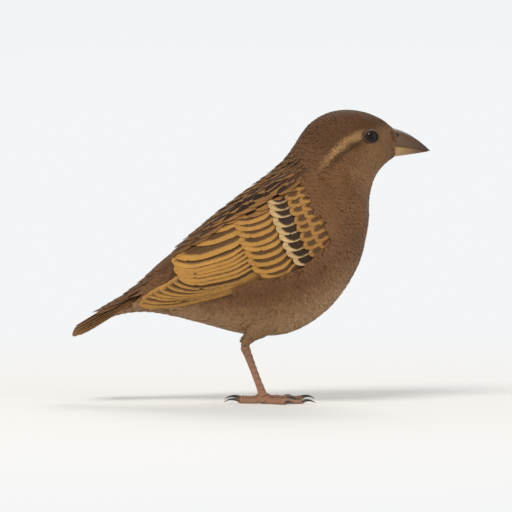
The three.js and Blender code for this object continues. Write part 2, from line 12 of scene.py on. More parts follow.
import bmesh
import bpy
import numpy as np
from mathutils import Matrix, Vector


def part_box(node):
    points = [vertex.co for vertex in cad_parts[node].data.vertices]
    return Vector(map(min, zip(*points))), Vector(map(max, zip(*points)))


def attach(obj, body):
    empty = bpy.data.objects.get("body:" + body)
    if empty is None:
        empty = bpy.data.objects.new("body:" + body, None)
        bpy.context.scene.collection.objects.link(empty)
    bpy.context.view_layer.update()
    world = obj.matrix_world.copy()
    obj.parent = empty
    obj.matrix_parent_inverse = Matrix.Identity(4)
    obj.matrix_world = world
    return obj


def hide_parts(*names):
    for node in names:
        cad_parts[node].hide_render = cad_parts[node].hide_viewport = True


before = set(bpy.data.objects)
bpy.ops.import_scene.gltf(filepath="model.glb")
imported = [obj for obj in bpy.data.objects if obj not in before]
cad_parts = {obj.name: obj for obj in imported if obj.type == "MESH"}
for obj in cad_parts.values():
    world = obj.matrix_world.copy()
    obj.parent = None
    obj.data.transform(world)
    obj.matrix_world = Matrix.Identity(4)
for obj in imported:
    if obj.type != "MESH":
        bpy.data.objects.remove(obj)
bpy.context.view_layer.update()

MM = 0.001  # in metres

# ---- sizes, as in the solids

# Sections of the body from the tail coverts to the face: top x and z, bottom x and z, half
# width, and the share of the height where the section is widest.
BODY = np.array([
    [-44, 37.6, -46, 31.4, 4.2, 0.5],
    [-36.6, 44.2, -40, 31.8, 6.6, 0.5],
    [-28, 52.6, -31, 31.2, 9.4, 0.5],
    [-17, 62.2, -17, 27.6, 14.0, 0.48],
    [-5, 71.8, -1, 23.8, 18.6, 0.46],
    [5, 79.2, 14, 24.6, 21.2, 0.45],
    [11, 84.4, 27.5, 33.2, 21.0, 0.45],
    [14.6, 89.0, 37.0, 47.0, 18.6, 0.46],
    [17.4, 93.4, 40.8, 61.0, 15.8, 0.48],
    [20.6, 97.4, 41.4, 71.6, 13.5, 0.5],
    [26.0, 100.8, 43.0, 78.0, 12.4, 0.5],
    [32.6, 102.2, 45.2, 81.6, 11.8, 0.47],
    [39.6, 101.4, 47.4, 83.8, 10.4, 0.46],
    [45.4, 99.0, 49.2, 85.2, 8.0, 0.46],
    [49.0, 96.3, 50.3, 85.8, 5.1, 0.45],
])
BODY_ROUNDNESS = 2.15
FACE = len(BODY) - 1  # the station of the face, round the root of the bill
FACE_END = FACE + 0.42  # where the surface, carried on, meets the bill

# Folded wing: u from the wrist to the tip and v round the body, in millimetres.
WRIST = np.array([28.5, 65.5])
WING_SLOPE = math.radians(22)
WING_KNOT = 15.0
WING = np.array([  # at each knot: spread, height, middle, lower edge, upper edge
    [17.6, 28.0, -1.5, -4.6, 18.0],
    [21.2, 30.0, -5.5, -7.6, 22.0],
    [20.4, 24.5, -5.6, -7.4, 22.6],
    [16.4, 18.0, -4.6, -6.2, 19.6],
    [12.0, 13.5, -3.2, -5.0, 13.5],
    [8.0, 10.5, -2.0, -3.8, 4.5],
])
WING_FRONT, WING_CORE_END = -1.2, 47.0  # where its arm and hand begin and end, along u
WING_OUTLINE = np.array([  # u, lower edge and upper edge of all its feathers
    [-1.2, -4.6, 18.0], [15, -7.6, 22.0], [30, -7.4, 22.6], [42, -6.8, 20.5], [50, -6.4, 16.0],
    [56, -6.0, 12.5], [60, -5.6, 8.0], [64, -5.0, 5.5], [71, -3.6, 2.5], [75, -2.0, 0.0],
])

# Six pairs of feathers: drop and roll are from each pair to the next one out.
TAIL = Sizes(tip=(-63.4, 25.4), slope=math.radians(31), pairs=6, shown=40, notch=2.4, width=9.0,
             root_spread=0.35, tip_spread=1.02, drop=0.42, roll=math.radians(4))
TAIL_TIP = np.array([TAIL.tip[0], 0, TAIL.tip[1]])
TAIL_BACK = np.array([-math.cos(TAIL.slope), 0, -math.sin(TAIL.slope)])
TAIL_UP = np.array([-math.sin(TAIL.slope), 0, math.cos(TAIL.slope)])

# pupil and iris are where their edges begin and end, from the axis of the eye.
EYE = Sizes(at=(41.4, 92.9), radius=2.75, inset=1.95, lid=0.36, opening=2.24, proud=1.85,
            lids_forward=math.radians(15), ball_forward=math.radians(10), pupil=(1.12, 1.28),
            iris=(1.95, 2.2))
BILL = Sizes(root=47.6, tip=62.6, lower_short=0.8, culmen=95.7, tip_height=88.0, mouth=89.8,
             gonys=85.9, half=4.1)
NOSTRIL = (51.0, 2.7, 93.3)  # the left one

LEG = Sizes(spread=9.4, knee=(10.5, 36), heel=(-2.5, 20.6), ankle=(4.2, 2.5), thigh=(6.8, 5.4, 2.5),
            shank=1.1, turn_out=math.radians(5))
TOES = [  # digit, yaw in degrees, length, radius, length of claw, joints
    (1, 176, 8.2, 1.05, 5.6, 1),
    (2, 31, 9.6, 0.95, 3.9, 2),
    (3, -2, 13.8, 1.0, 4.5, 3),
    (4, -35, 10.2, 0.9, 3.8, 3),
]
TOE_FLAT = 0.8  # height of a toe's middle over the ground, as a share of its radius
CLAW_BEND = math.radians(62)
GAP = 0.3  # between the end of a toe and its claw, in the solids


# ---- numbers, points and angles

def srgb(*parts):
    """Linear colour of a display colour given from 0 to 255."""
    c = np.array(parts, float) / 255
    return np.where(c <= 0.04045, c / 12.92, ((c + 0.055) / 1.055) ** 2.4)


def blend(a, b, share):
    """The colours at shares of the way from a to b."""
    return a + (b - a) * np.asarray(share)[..., None]


def between(a, b, share):
    """The value at a share of the way from a to b."""
    return a + (b - a) * share


def stacked(*parts):
    """Parts of points or colours, or the corners of faces, side by side on a last axis."""
    return np.stack(np.broadcast_arrays(*parts), axis=-1)


def turns(count):
    """Angles evenly spaced round a full turn."""
    return np.linspace(0, 2 * np.pi, count, endpoint=False)


def grid(first, second):
    """Two tables with a row for each value of first and a column for each of second."""
    return np.meshgrid(first, second, indexing="ij")


def unit(vectors, spare=0.0):
    """Vectors of length 1, but for a spare that keeps none from a division by nothing."""
    return vectors / (np.linalg.norm(vectors, axis=-1, keepdims=True) + spare)


def bell(x, width):
    """1 at nothing, and less on both sides of it, as a bell of that width."""
    return np.exp(-(x / width) ** 2)


def dome(across):
    """Half a circle over shares from 0 to 1."""
    return np.sqrt(1 - (2 * across - 1) ** 2)


def level_and_rise(run):
    """The directions across a line, level and upwards."""
    level = unit(np.cross([0, 0, 1.0], run))
    return level, np.cross(run, level)


def smooth(x, low, high):
    """0 up to low and 1 from high on, with a smooth rise between them."""
    f = np.clip((x - low) / (high - low), 0, 1)
    return f * f * (3 - 2 * f)


def fall(x, low, high):
    """1 up to low and 0 from high on."""
    return 1 - smooth(x, low, high)


# ---- colours

# Middle and fringe of the feathers of each part of the plumage.
CROWN = srgb(80, 53, 33), srgb(98, 67, 42)
NAPE = srgb(90, 61, 38), srgb(108, 75, 47)
CHEEK = srgb(102, 70, 44), srgb(119, 85, 55)
BROW = srgb(160, 121, 78), srgb(174, 135, 91)
EYE_LINE = srgb(56, 37, 24), srgb(70, 48, 32)
THROAT = srgb(128, 92, 60), srgb(144, 108, 75)
BREAST = srgb(104, 70, 44), srgb(122, 86, 56)
FLANK = srgb(98, 66, 41), srgb(116, 81, 52)
BELLY = srgb(142, 108, 75), srgb(160, 126, 91)
VENT = srgb(128, 94, 62), srgb(154, 119, 83)
MANTLE = srgb(44, 30, 20), srgb(144, 101, 55)
RUMP = srgb(92, 63, 39), srgb(110, 77, 49)
THIGH = srgb(130, 97, 66), srgb(148, 114, 81)
LESSER = srgb(100, 70, 42), srgb(164, 119, 62)
FLIGHT = srgb(92, 64, 38), srgb(181, 132, 66)
PRIMARY = srgb(84, 58, 36), srgb(170, 124, 63)
WING_BAR = srgb(56, 40, 28), srgb(196, 163, 114)
RECTRIX = srgb(70, 49, 34), srgb(126, 91, 55)
QUILL = srgb(40, 28, 20)
# Bare parts, from dark to pale.
PUPIL, IRIS_EDGE, IRIS = srgb(8, 6, 5), srgb(16, 11, 8), srgb(43, 26, 16)
LID_SKIN = srgb(52, 40, 32), srgb(92, 74, 60)
# Near black that stands for the painted shade inside the openings of the nostrils.
NOSTRIL_SHADE = srgb(14, 10, 8)
HORN_DARK, HORN_BROWN, HORN_PALE = srgb(60, 43, 31), srgb(116, 86, 58), srgb(180, 146, 92)
# The first is painted shade for the creases between the plates of the legs, the second the shank's
# own colour.
PAINTED_CREASE_SHADE, SHANK = srgb(84, 58, 42), srgb(138, 98, 72)
TOE_TOP, SOLE = srgb(158, 112, 84), srgb(156, 118, 88)
CLAW_DARK, CLAW_PALE = srgb(42, 32, 26), srgb(96, 74, 58)
PALE_FLOOR = srgb(238, 237, 234)


# ---- surfaces

def spline(rows, t):
    """Catmull-Rom through evenly spaced rows, carried on in a straight line past its ends."""
    rows = np.asarray(rows, float)
    t = np.asarray(t, float)
    last = len(rows) - 1
    i = np.clip(np.floor(t).astype(int), 0, last - 1)
    f = np.clip(t - i, 0, 1)[..., None]
    padded = np.vstack([2 * rows[0] - rows[1], rows, 2 * rows[-1] - rows[-2]])
    a, b, c, d = (padded[i + k] for k in range(4))
    inside = b + 0.5 * f * (c - a + f * (2 * a - 5 * b + 4 * c - d + f * (3 * (b - c) + d - a)))
    before = np.minimum(t, 0)[..., None] * (rows[1] - rows[0])
    after = np.maximum(t - last, 0)[..., None] * (rows[-1] - rows[-2])
    return inside + before + after


def round_power(c):
    """A sine or cosine, squared up for the body's sections."""
    return np.sign(c) * np.abs(c) ** (2 / BODY_ROUNDNESS)


def body_point(t, angle):
    """The body's surface at station t, angle 0 on the bird's left and a quarter turn on top."""
    row = spline(BODY, t)
    top, bottom = row[..., 0:2], row[..., 2:4]
    middle = bottom + row[..., 5:6] * (top - bottom)
    rise = round_power(np.sin(angle))[..., None]
    end = np.where(rise > 0, top, bottom)
    side = middle + np.abs(rise) * (end - middle)
    y = np.maximum(row[..., 4], 0.3) * round_power(np.cos(angle))
    return stacked(side[..., 0], y, side[..., 1])


def body_side(x, z):
    """Half width of the body where the side view shows the point (x, z)."""
    low, high = 0.0, float(FACE)
    for _ in range(40):
        t = (low + high) / 2
        tx, tz, bx, bz = spline(BODY, t)[:4]
        if (tx - bx) * (z - bz) - (tz - bz) * (x - bx) < 0:
            low = t
        else:
            high = t
    tx, tz, bx, bz, half, waist = spline(BODY, low)
    middle = bz + waist * (tz - bz)
    rise = min(max((z - middle) / ((tz if z > middle else bz) - middle), 0), 1)
    return half * (1 - rise ** BODY_ROUNDNESS) ** (1 / BODY_ROUNDNESS)


def wing_section(u):
    """Spread, height, middle, lower edge and upper edge of the folded wing at u."""
    return np.moveaxis(spline(WING, np.asarray(u) / WING_KNOT), -1, 0)


def wing_point(u, v, lift=0.0):
    """A point of the left wing, at u, v and a height over the wing's core."""
    spread, height, middle, _, _ = wing_section(u)
    angle = 2 * v / (spread + height)
    nx, ny = spread * np.sin(angle), height * np.cos(angle)
    size = np.hypot(nx, ny)
    h = middle + height * np.sin(angle) + lift * nx / size
    y = spread * np.cos(angle) + lift * ny / size
    c, s = math.cos(WING_SLOPE), math.sin(WING_SLOPE)
    return stacked(WRIST[0] - u * c - h * s, y, WRIST[1] - u * s + h * c)


def wing_place(points):
    """u, v and height over the wing's core of points beside either wing."""
    dx, dz = WRIST[0] - points[..., 0], points[..., 2] - WRIST[1]
    c, s = math.cos(WING_SLOPE), math.sin(WING_SLOPE)
    u, h = dx * c - dz * s, dx * s + dz * c
    spread, height, middle, _, _ = wing_section(u)
    up, out = (h - middle) / height, np.abs(points[..., 1]) / spread
    angle = np.arctan2(up, out)
    girth = spread * height / np.hypot(height * np.cos(angle), spread * np.sin(angle))
    return u, angle * (spread + height) / 2, (np.hypot(up, out) - 1) * girth


def mirror_like(points):
    """Factors that turn points of the left side to the side on which points lie."""
    return np.where(points[..., 1:2] < 0, [1.0, -1.0, 1.0], 1.0)


def wing_edges(u):
    """Lower and upper edge of the folded wing at u."""
    return wing_section(u)[3:]


def in_wing(u, v):
    """How deep u, v lies inside the outline of the folded wing's feathers, in millimetres."""
    low, high = (np.interp(u, WING_OUTLINE[:, 0], WING_OUTLINE[:, k]) for k in (1, 2))
    first, last = WING_OUTLINE[0, 0], WING_OUTLINE[-1, 0]
    return np.minimum(np.minimum(v - low, high - v), np.minimum(u - first, last - u))


def pressed(u, v, height):
    """Heights over the wing's core, less towards its upper edge, where the back runs on."""
    _, high = wing_edges(u)
    return height * (1 - 0.55 * smooth(v, high - 10, high))


def shoulder(u, v):
    """Height of the small coverts' bed over the core of the wing."""
    low, high = wing_edges(u)
    across = np.clip((v - low) / (high - low), 0, 1)
    return 0.2 + 1.7 * smooth(u, -2, 4) * fall(u, 6, 20) * dome(across)


def shoulder_point(u, v):
    """A point of the small coverts' bed."""
    return wing_point(u, v, shoulder(u, v))


def leg_point(at, side, inward=0.0):
    """The place in the side view of a joint of the leg, as a point of that leg."""
    return np.array([at[0], side * (LEG.spread - inward), at[1]])


def thigh_radius(s):
    """Radius of the thigh at s from its hip, drawn in towards the heel."""
    hip, middle, end = LEG.thigh
    radius = np.where(s < 0.5, between(hip, middle, 2 * s),
                      between(middle, end, smooth(s, 0.45, 1.0)))
    return radius * (1 - 0.34 * smooth(s, 0.75, 1.08))


def thigh_line(side):
    """The ends of the line down the middle of the thigh."""
    knee, heel = leg_point(LEG.knee, side, 0.6), leg_point(LEG.heel, side)
    return knee, knee + 0.9 * (heel - knee)


def thigh_surface(side):
    """The thigh as a surface: s from its hip to its heel, and the angle round it."""
    hip, end = thigh_line(side)
    level, rise = level_and_rise(unit(end - hip))

    def point(s, angle):
        s, angle = s[..., None], angle[..., None]
        return between(hip, end, s) + thigh_radius(s) * (np.cos(angle) * level
                                                         - np.sin(angle) * rise)

    return point


def beside_line(points, start, end):
    """How far along a line points lie, as a share of it, and their way from its nearest point."""
    run = end - start
    share = (points - start) @ run / (run @ run)
    return share, points - start - np.clip(share, 0, 1)[..., None] * run


def eye_center(side):
    x, z = EYE.at
    return np.array([x, side * (body_side(x, z) - EYE.inset), z])


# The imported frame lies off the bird's own by one shift, read from the right eye.
low_corner, high_corner = (np.array(corner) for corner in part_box("eye_right"))
SHIFT = (low_corner + high_corner) / 2 - eye_center(-1) * MM


# ---- meshes

def make_object(name, points, faces, uvs=None, sharp=None):
    """A mesh object from points in millimetres and an array of faces of one size.

    uvs hold one row for each point. sharp is a square table over the points of one repeated
    piece that says which of its edges are creased.
    """
    points = np.asarray(points, float).reshape(-1, 3)
    faces = np.asarray(faces, np.int32)
    mesh = bpy.data.meshes.new(name)
    mesh.vertices.add(len(points))
    mesh.vertices.foreach_set("co", (points * MM + SHIFT).ravel())
    mesh.loops.add(faces.size)
    mesh.loops.foreach_set("vertex_index", faces.ravel())
    mesh.polygons.add(len(faces))
    starts = np.arange(0, faces.size, faces.shape[1], dtype=np.int32)
    mesh.polygons.foreach_set("loop_start", starts)
    mesh.update(calc_edges=True)
    mesh.shade_smooth()
    if sharp is not None:
        a, b = taken(mesh.edges, "vertices", 2, np.int32).T % len(sharp)
        crease = mesh.attributes.new("sharp_edge", "BOOLEAN", "EDGE")
        crease.data.foreach_set("value", sharp[a, b])
    for key, uv in (uvs or {}).items():
        layer = mesh.uv_layers.new(name=key)
        layer.uv.foreach_set("vector", np.asarray(uv, np.float32)[faces.ravel()].ravel())
    made = bpy.data.objects.new(name, mesh)
    bpy.context.scene.collection.objects.link(made)
    return made


def paint(mesh, key, colour, alpha=1.0):
    """Gives the points of a mesh a layer of colours, one for all or one for each."""
    rgba = np.empty((len(mesh.vertices), 4), np.float32)
    rgba[:, :3] = colour
    rgba[:, 3] = alpha
    layer = mesh.color_attributes.new(name=key, type="FLOAT_COLOR", domain="POINT")
    layer.data.foreach_set("color", rgba.ravel())


def taken(items, key, size, kind=np.float32):
    """One value of each of a mesh's items, as rows of numbers."""
    values = np.empty(len(items) * size, kind)
    items.foreach_get(key, values)
    return values.reshape(-1, size)


def places_of(mesh):
    """The points of a mesh in the bird's own frame, in millimetres."""
    return (taken(mesh.vertices, "co", 3).astype(float) - SHIFT) / MM


def dress(piece, material, slot, *nodes):
    """Gives a piece its material and its body, and hides the nodes that it stands for; slot is not
    used.
    """
    piece.data.materials.append(material)
    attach(piece, "root")
    if nodes:
        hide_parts(*nodes)


def grid_faces(rows, columns, wrap=False, loop=False):
    """Quads over a grid of points, closed round its columns by wrap and its rows by loop."""
    i, j = grid(np.arange(rows - (not loop)), np.arange(columns - (not wrap)))
    here, there = i * columns, (i + 1) % rows * columns
    after = (j + 1) % columns
    return stacked(here + j, here + after, there + after, there + j).reshape(-1, 4)


def halves(quads):
    """Two triangles for each quad."""
    return np.vstack([quads[:, [0, 1, 2]], quads[:, [0, 2, 3]]])


def fan(ring, hub):
    """Triangles from a closed ring of points to its hub."""
    return stacked(np.roll(ring, -1), ring, hub)


def skin_over(rings, name, colour=None):
    """A closed tube over rings of points, rows by columns, with a fan over each end."""
    rows, columns = rings.shape[:2]
    points = np.vstack([rings.reshape(-1, 3), rings[0].mean(axis=0), rings[-1].mean(axis=0)])
    ring = np.arange(columns)
    hub = rows * columns
    faces = np.vstack([halves(grid_faces(rows, columns, wrap=True)), fan(ring, hub),
                       fan(hub - 1 - ring, hub + 1)])
    made = make_object(name, points, outward(points, faces))
    if colour is not None:
        paint(made.data, "Middle", np.vstack([colour.reshape(-1, 3), colour[0, 0], colour[-1, 0]]))
    return made


def outward(points, faces):
    """The same triangles, turned so that they enclose a positive volume."""
    a, b, c = (points[faces[:, k]] for k in range(3))
    volume = np.einsum("ij,ij->i", a, np.cross(b, c)).sum()
    return faces if volume > 0 else faces[:, ::-1]


def join(objects, name):
    """Several mesh objects as one."""
    with bpy.context.temp_override(active_object=objects[0], selected_editable_objects=objects):
        bpy.ops.object.join()
    objects[0].name = objects[0].data.name = name
    return objects[0]


def merge_slivers(mesh, nearest):
    """Closes up the slivers that a union leaves, by joining points nearer than nearest."""
    work = bmesh.new()
    work.from_mesh(mesh)
    bmesh.ops.remove_doubles(work, verts=work.verts, dist=nearest)
    bmesh.ops.dissolve_degenerate(work, edges=work.edges, dist=nearest)
    work.to_mesh(mesh)
    work.free()


def settle(obj):
    """Applies an object's modifiers to its mesh."""
    graph = bpy.context.evaluated_depsgraph_get()
    made = bpy.data.meshes.new_from_object(obj.evaluated_get(graph))
    obj.modifiers.clear()
    old, obj.data = obj.data, made
    made.name = obj.name
    bpy.data.meshes.remove(old)


# ---- materials

class Nodes:
    """The node tree of a material or of the world, built by short calls."""

    def __init__(self, name, group=bpy.data.materials, shader="Principled BSDF"):
        self.made = group.new(name)
        self.made.use_nodes = True
        self.tree = self.made.node_tree
        self.shader = self.tree.nodes[shader]

    def add(self, kind, inputs=(), **values):
        node = self.tree.nodes.new(kind)
        for key, value in values.items():
            setattr(node, key, value)
        for key, value in dict(inputs).items():
            self.put(node.inputs[key], value)
        return node

    def put(self, socket, value):
        if isinstance(value, bpy.types.NodeSocket):
            self.tree.links.new(value, socket)
        else:
            socket.default_value = value

    def math(self, operation, *values):
        return self.add("ShaderNodeMath", enumerate(values), operation=operation).outputs[0]

    def fit(self, value, factor, base):
        """The value times factor, plus base."""
        return self.math("MULTIPLY_ADD", value, factor, base)

    def step(self, value, low, high):
        """0 below low and 1 above high, smooth between them."""
        return self.add("ShaderNodeMapRange", {"Value": value, "From Min": low, "From Max": high},
                        interpolation_type="SMOOTHSTEP").outputs[0]

    def mix(self, share, a, b):
        return self.add("ShaderNodeMix", {0: share, 6: a, 7: b}, data_type="RGBA").outputs[2]

    def scaled(self, colour, factor):
        """A colour times a grey value."""
        grey = self.add("ShaderNodeCombineXYZ", dict.fromkeys(range(3), factor)).outputs[0]
        return self.add("ShaderNodeVectorMath", {0: colour, 1: grey},
                        operation="MULTIPLY").outputs[0]

    def noise(self, scale, detail=3.0, vector=None):
        inputs = {"Vector": vector or self.place(), "Scale": scale, "Detail": detail}
        return self.add("ShaderNodeTexNoise", inputs).outputs["Fac"]

    def place(self):
        return self.add("ShaderNodeNewGeometry").outputs["Position"]

    def bump(self, height, strength, distance):
        inputs = {"Height": height, "Strength": strength, "Distance": distance}
        self.put(self.shader.inputs["Normal"], self.add("ShaderNodeBump", inputs).outputs[0])

    def middle(self):
        return self.add("ShaderNodeAttribute", attribute_name="Middle").outputs["Color"]

    def finish(self, colour, **sockets):
        self.put(self.shader.inputs["Base Color"], colour)
        for key, value in sockets.items():
            self.put(self.shader.inputs[key.replace("_", " ")], value)
        return self.made


# Shares of half a feather's width: how far noise frays the edge between its two colours, where
# that edge begins and ends, the middle of the shaft, and where the shaft's edge begins and ends.
FRAY, FRINGE_EDGE = 0.22, (0.82, 1.14)
SHAFT_AT, SHAFT_HALF = -0.12, (0.015, 0.075)
BARB_WOBBLE = 0.9  # how far noise shifts the barbs, in barbs


def feather_material(name, barbs, slope, shaft, roughness=0.62, streaks=0.08, relief=0.3):
    """Feathers: a middle and a fringe colour from the mesh, barbs, and a shaft.

    The map "Vane" runs across a feather from -1 to 1 and along it from 0 to 1. The alpha of
    "Middle" is the share of the feather's width that its middle colour takes, and the alpha of
    "Fringe" is how far along the feather the middle colour runs. The barbs lean forward by
    slope on their way from the shaft to the edge.
    """
    n = Nodes(name)
    middle = n.add("ShaderNodeAttribute", attribute_name="Middle")
    fringe = n.add("ShaderNodeAttribute", attribute_name="Fringe")
    place = n.add("ShaderNodeUVMap", uv_map="Vane")
    parts = n.add("ShaderNodeSeparateXYZ", {0: place.outputs[0]})
    across, along = parts.outputs[0], parts.outputs[1]
    aside = n.math("ABSOLUTE", across)
    barb_place = n.fit(aside, -slope, along)
    wide = n.math("DIVIDE", aside, middle.outputs["Alpha"])
    past = n.math("SUBTRACT", along, fringe.outputs["Alpha"])
    beyond = n.math("MAXIMUM", n.fit(past, 4.0, 1.0), 0.0)
    reach = n.math("SQRT", n.math("ADD", n.math("MULTIPLY", wide, wide),
                                  n.math("MULTIPLY", beyond, beyond)))
    frayed = n.fit(n.noise(1100.0, 2.0), FRAY, n.math("SUBTRACT", reach, FRAY / 2))
    share = n.step(frayed, *FRINGE_EDGE)
    colour = n.mix(share, middle.outputs["Color"], fringe.outputs["Color"])
    wobble = n.fit(n.noise(700.0, 2.0), BARB_WOBBLE / barbs, barb_place)
    barb = n.math("SINE", n.math("MULTIPLY", wobble, 2 * math.pi * barbs))
    colour = n.scaled(colour, n.fit(barb, streaks, 1.0))
    colour = n.scaled(colour, n.fit(n.noise(240.0, 4.0), 0.3, 0.85))
    height = barb
    if shaft:
        near = n.step(n.math("ABSOLUTE", n.math("ADD", across, -SHAFT_AT)), *SHAFT_HALF)
        colour = n.mix(n.fit(near, -0.6, 0.6), colour, (*QUILL, 1))
        height = n.math("ADD", barb, n.fit(near, -3.0, 3.0))
    n.bump(height, relief, 0.00003)
    return n.finish(colour, Roughness=roughness, Sheen_Weight=0.02, Sheen_Roughness=0.45,
                    Specular_IOR_Level=0.14)


def flecked_material(name, noise, spread, bump, **sockets):
    """The mesh's colours times a fine noise, of which spread is the range and the lowest."""
    n = Nodes(name)
    fleck = n.noise(*noise)
    if bump:
        n.bump(fleck, *bump)
    return n.finish(n.scaled(n.middle(), n.fit(fleck, *spread)), **sockets)


def horn_material():
    """The horn of the bill, mottled and with fine growth lines along it."""
    n = Nodes("bill_horn")
    drawn = n.add("ShaderNodeMapping", {0: n.place()}, vector_type="POINT")
    drawn.inputs["Scale"].default_value = (0.14, 1.0, 1.0)
    streak = n.noise(2600.0, 5.0, drawn.outputs[0])
    mottle = n.noise(500.0, 4.0)
    shade = n.math("ADD", n.fit(streak, 0.4, 0.8), n.fit(mottle, 0.4, -0.2))
    n.bump(n.math("ADD", streak, mottle), 0.5, 0.00014)
    rough = n.fit(mottle, 0.2, 0.34)
    return n.finish(n.scaled(n.middle(), shade), Roughness=rough, Specular_IOR_Level=0.35,
                    Subsurface_Weight=0.06, Subsurface_Radius=(0.001, 0.0006, 0.0003))


def leg_material():
    """Scaled skin, wrinkled, with painted shade that darkens its hollows."""
    n = Nodes("leg_skin")
    wrinkle = n.noise(2600.0, 4.0)
    patch = n.noise(500.0, 2.0)
    shade = n.math("ADD", n.fit(patch, 0.4, 0.62), n.math("MULTIPLY", wrinkle, 0.3))
    # painted shade: where the surface is hollow, by its pointiness, the skin's colour drops to half
    crease = n.add("ShaderNodeNewGeometry").outputs["Pointiness"]
    shade = n.math("MULTIPLY", shade, n.fit(n.step(crease, 0.44, 0.51), 0.5, 0.5))
    n.bump(wrinkle, 0.5, 0.00008)
    return n.finish(n.scaled(n.middle(), shade), Roughness=0.5, Specular_IOR_Level=0.35,
                    Subsurface_Weight=0.06, Subsurface_Radius=(0.0012, 0.0005, 0.0003))


def lid_material():
    """The bare skin of the lids."""
    n = Nodes("lid_skin")
    fleck = n.noise(2400.0, 3.0)
    colour = n.mix(fleck, *((*part, 1) for part in LID_SKIN))
    n.bump(fleck, 0.5, 0.00008)
    return n.finish(colour, Roughness=0.55, Specular_IOR_Level=0.35)


def floor_material():
    """A pale floor whose far part glows with the tone of the sky, light that the floor gives off
    though it is no lamp, so that it fades into the sky well away from the bird.
    """
    n = Nodes("stage_floor")
    away = n.add("ShaderNodeVectorMath", {0: n.place()}, operation="LENGTH").outputs["Value"]
    share = n.step(away, 0.08, 0.5)
    colour = n.mix(share, (*PALE_FLOOR, 1), (0, 0, 0, 1))
    # painted light: beyond the bird the floor glows with the sky's tone, though it is no lamp
    n.put(n.shader.inputs["Emission Color"], SKY_TONE)
    n.put(n.shader.inputs["Emission Strength"], n.math("MULTIPLY", share, SKY_GLOW))
    return n.finish(colour, Roughness=0.85, Specular_IOR_Level=0.0)


PLUMAGE = feather_material("plumage", barbs=24.0, slope=0.55, shaft=False)
COVERTS = feather_material("covert_feathers", barbs=52.0, slope=0.3, shaft=True, roughness=0.56)
FLIGHT_VANES = feather_material("flight_feathers", barbs=100.0, slope=0.17, shaft=True,
                                roughness=0.5, streaks=0.05, relief=0.12)
BASE = flecked_material("plumage_base", (1600.0, 5.0), (0.5, 0.56), (0.7, 0.0002),
                        Roughness=0.95, Specular_IOR_Level=0.1)
HORN = horn_material()
LEG_SKIN = leg_material()
CLAW_HORN = flecked_material("claw_horn", (1800.0, 3.0), (0.5, 0.75), (0.25, 0.00005),
                             Roughness=0.32, Specular_IOR_Level=0.5)
EYE_BALL = flecked_material("eye", (2200.0, 3.0), (0.8, 0.6), None,
                            Roughness=0.05, Specular_IOR_Level=0.22)
LID = lid_material()


# ---- markings

# The seeds of the random draws; those of paired pieces differ by side.
SEEDS = dict(coat=3, bill_edge=9, thigh=17, marginal=31, mantle=47, scapulars=53, wing=71, tail=5,
             coverts=61)


def draws(key, side=0):
    """The random draws of a piece."""
    return np.random.default_rng(SEEDS[key] + side)


def drift(points, size, seed):
    """Slow changes over space, from -1 to 1, about size millimetres across."""
    draw = np.random.default_rng(seed)
    total = 0.0
    for _ in range(5):
        way = draw.normal(0, 1, 3)
        way *= 2 * np.pi / (size * draw.uniform(0.7, 1.6) * np.linalg.norm(way))
        total = total + np.sin(points @ way + draw.uniform(0, 6.3))
    return total / 3


def markings(points, up):
    """Middle and fringe colours of the plumage at points.

    up is how far round towards the back a point lies, from -1 under the bird to 1 on top. The
    other bounds of the markings are places in the side view, in millimetres.
    """
    x, _, z = np.moveaxis(points, -1, 0)
    ragged = drift(points, 3.0, 8) * 0.5
    middle = np.broadcast_to(FLANK[0], (*x.shape, 3))
    fringe = np.broadcast_to(FLANK[1], (*x.shape, 3))

    def lay(pair, share):
        nonlocal middle, fringe
        middle, fringe = blend(middle, pair[0], share), blend(fringe, pair[1], share)

    lay(BREAST, smooth(x, 16, 34) * smooth(-up, -0.5, 0.1))
    lay(BELLY, smooth(-up + 0.1 * ragged, 0.35, 0.9) * fall(z, 36, 60))
    lay(VENT, smooth(-x, 12, 28) * smooth(-up, -0.1, 0.4))
    lay(RUMP, smooth(up, 0.1, 0.55) * fall(x, 15, 27))
    nape_to_throat = z + 0.55 * x
    head = smooth(nape_to_throat + ragged, 101, 110)
    lay(CHEEK, head)
    lay(THROAT, 0.8 * smooth(x - 0.9 * (z - 80) + ragged, 29, 37) * smooth(x + 0.3 * z, 56, 66))
    lay(NAPE, smooth(up, -0.2, 0.4) * smooth(nape_to_throat, 94, 106) * fall(x, 22, 32))
    brow = 95.9 - 0.02 * (x - 45) ** 2  # height of the crown's lower edge
    below = brow - z + 0.5 * ragged
    lay(CROWN, head * smooth(-below, -1.2, 1.4))
    lay(BROW, 0.85 * fall(x, 39.5, 43.5) * smooth(x, 22, 31)
        * fall(np.abs(below - 1.7), 0.3, 2.0))
    lay(EYE_LINE, 0.75 * fall(x, 38.5, 40.5) * smooth(x, 24, 32)
        * fall(np.abs(below - 4.3), 0.1, 1.7))
    return middle, fringe


# ---- feathers over a surface

def tangents(surface, p, q, flow_sign):
    """Point, run of the feathers, direction across them, normal and both derivatives."""
    step = 1e-3
    here = surface(p, q)
    by_p = (surface(p + step, q) - here) / step
    by_q = (surface(p, q + step) - here) / step
    flow = unit(flow_sign * by_p, 1e-9)
    normal = unit(np.cross(flow, by_q), 1e-9)
    return here, flow, np.cross(normal, flow), normal, by_p, by_q


def steps_to(along, across, flow, side, by_p, by_q):
    """Steps in p and q that move by along and across, measured in the surface."""
    move = along[..., None] * flow + across[..., None] * side
    pp, pq, qq = (np.sum(a * b, axis=-1) for a, b in ((by_p, by_p), (by_p, by_q), (by_q, by_q)))
    mp, mq = np.sum(move * by_p, axis=-1), np.sum(move * by_q, axis=-1)
    det = pp * qq - pq * pq + 1e-12
    return (mp * qq - mq * pq) / det, (mq * pp - mp * pq) / det


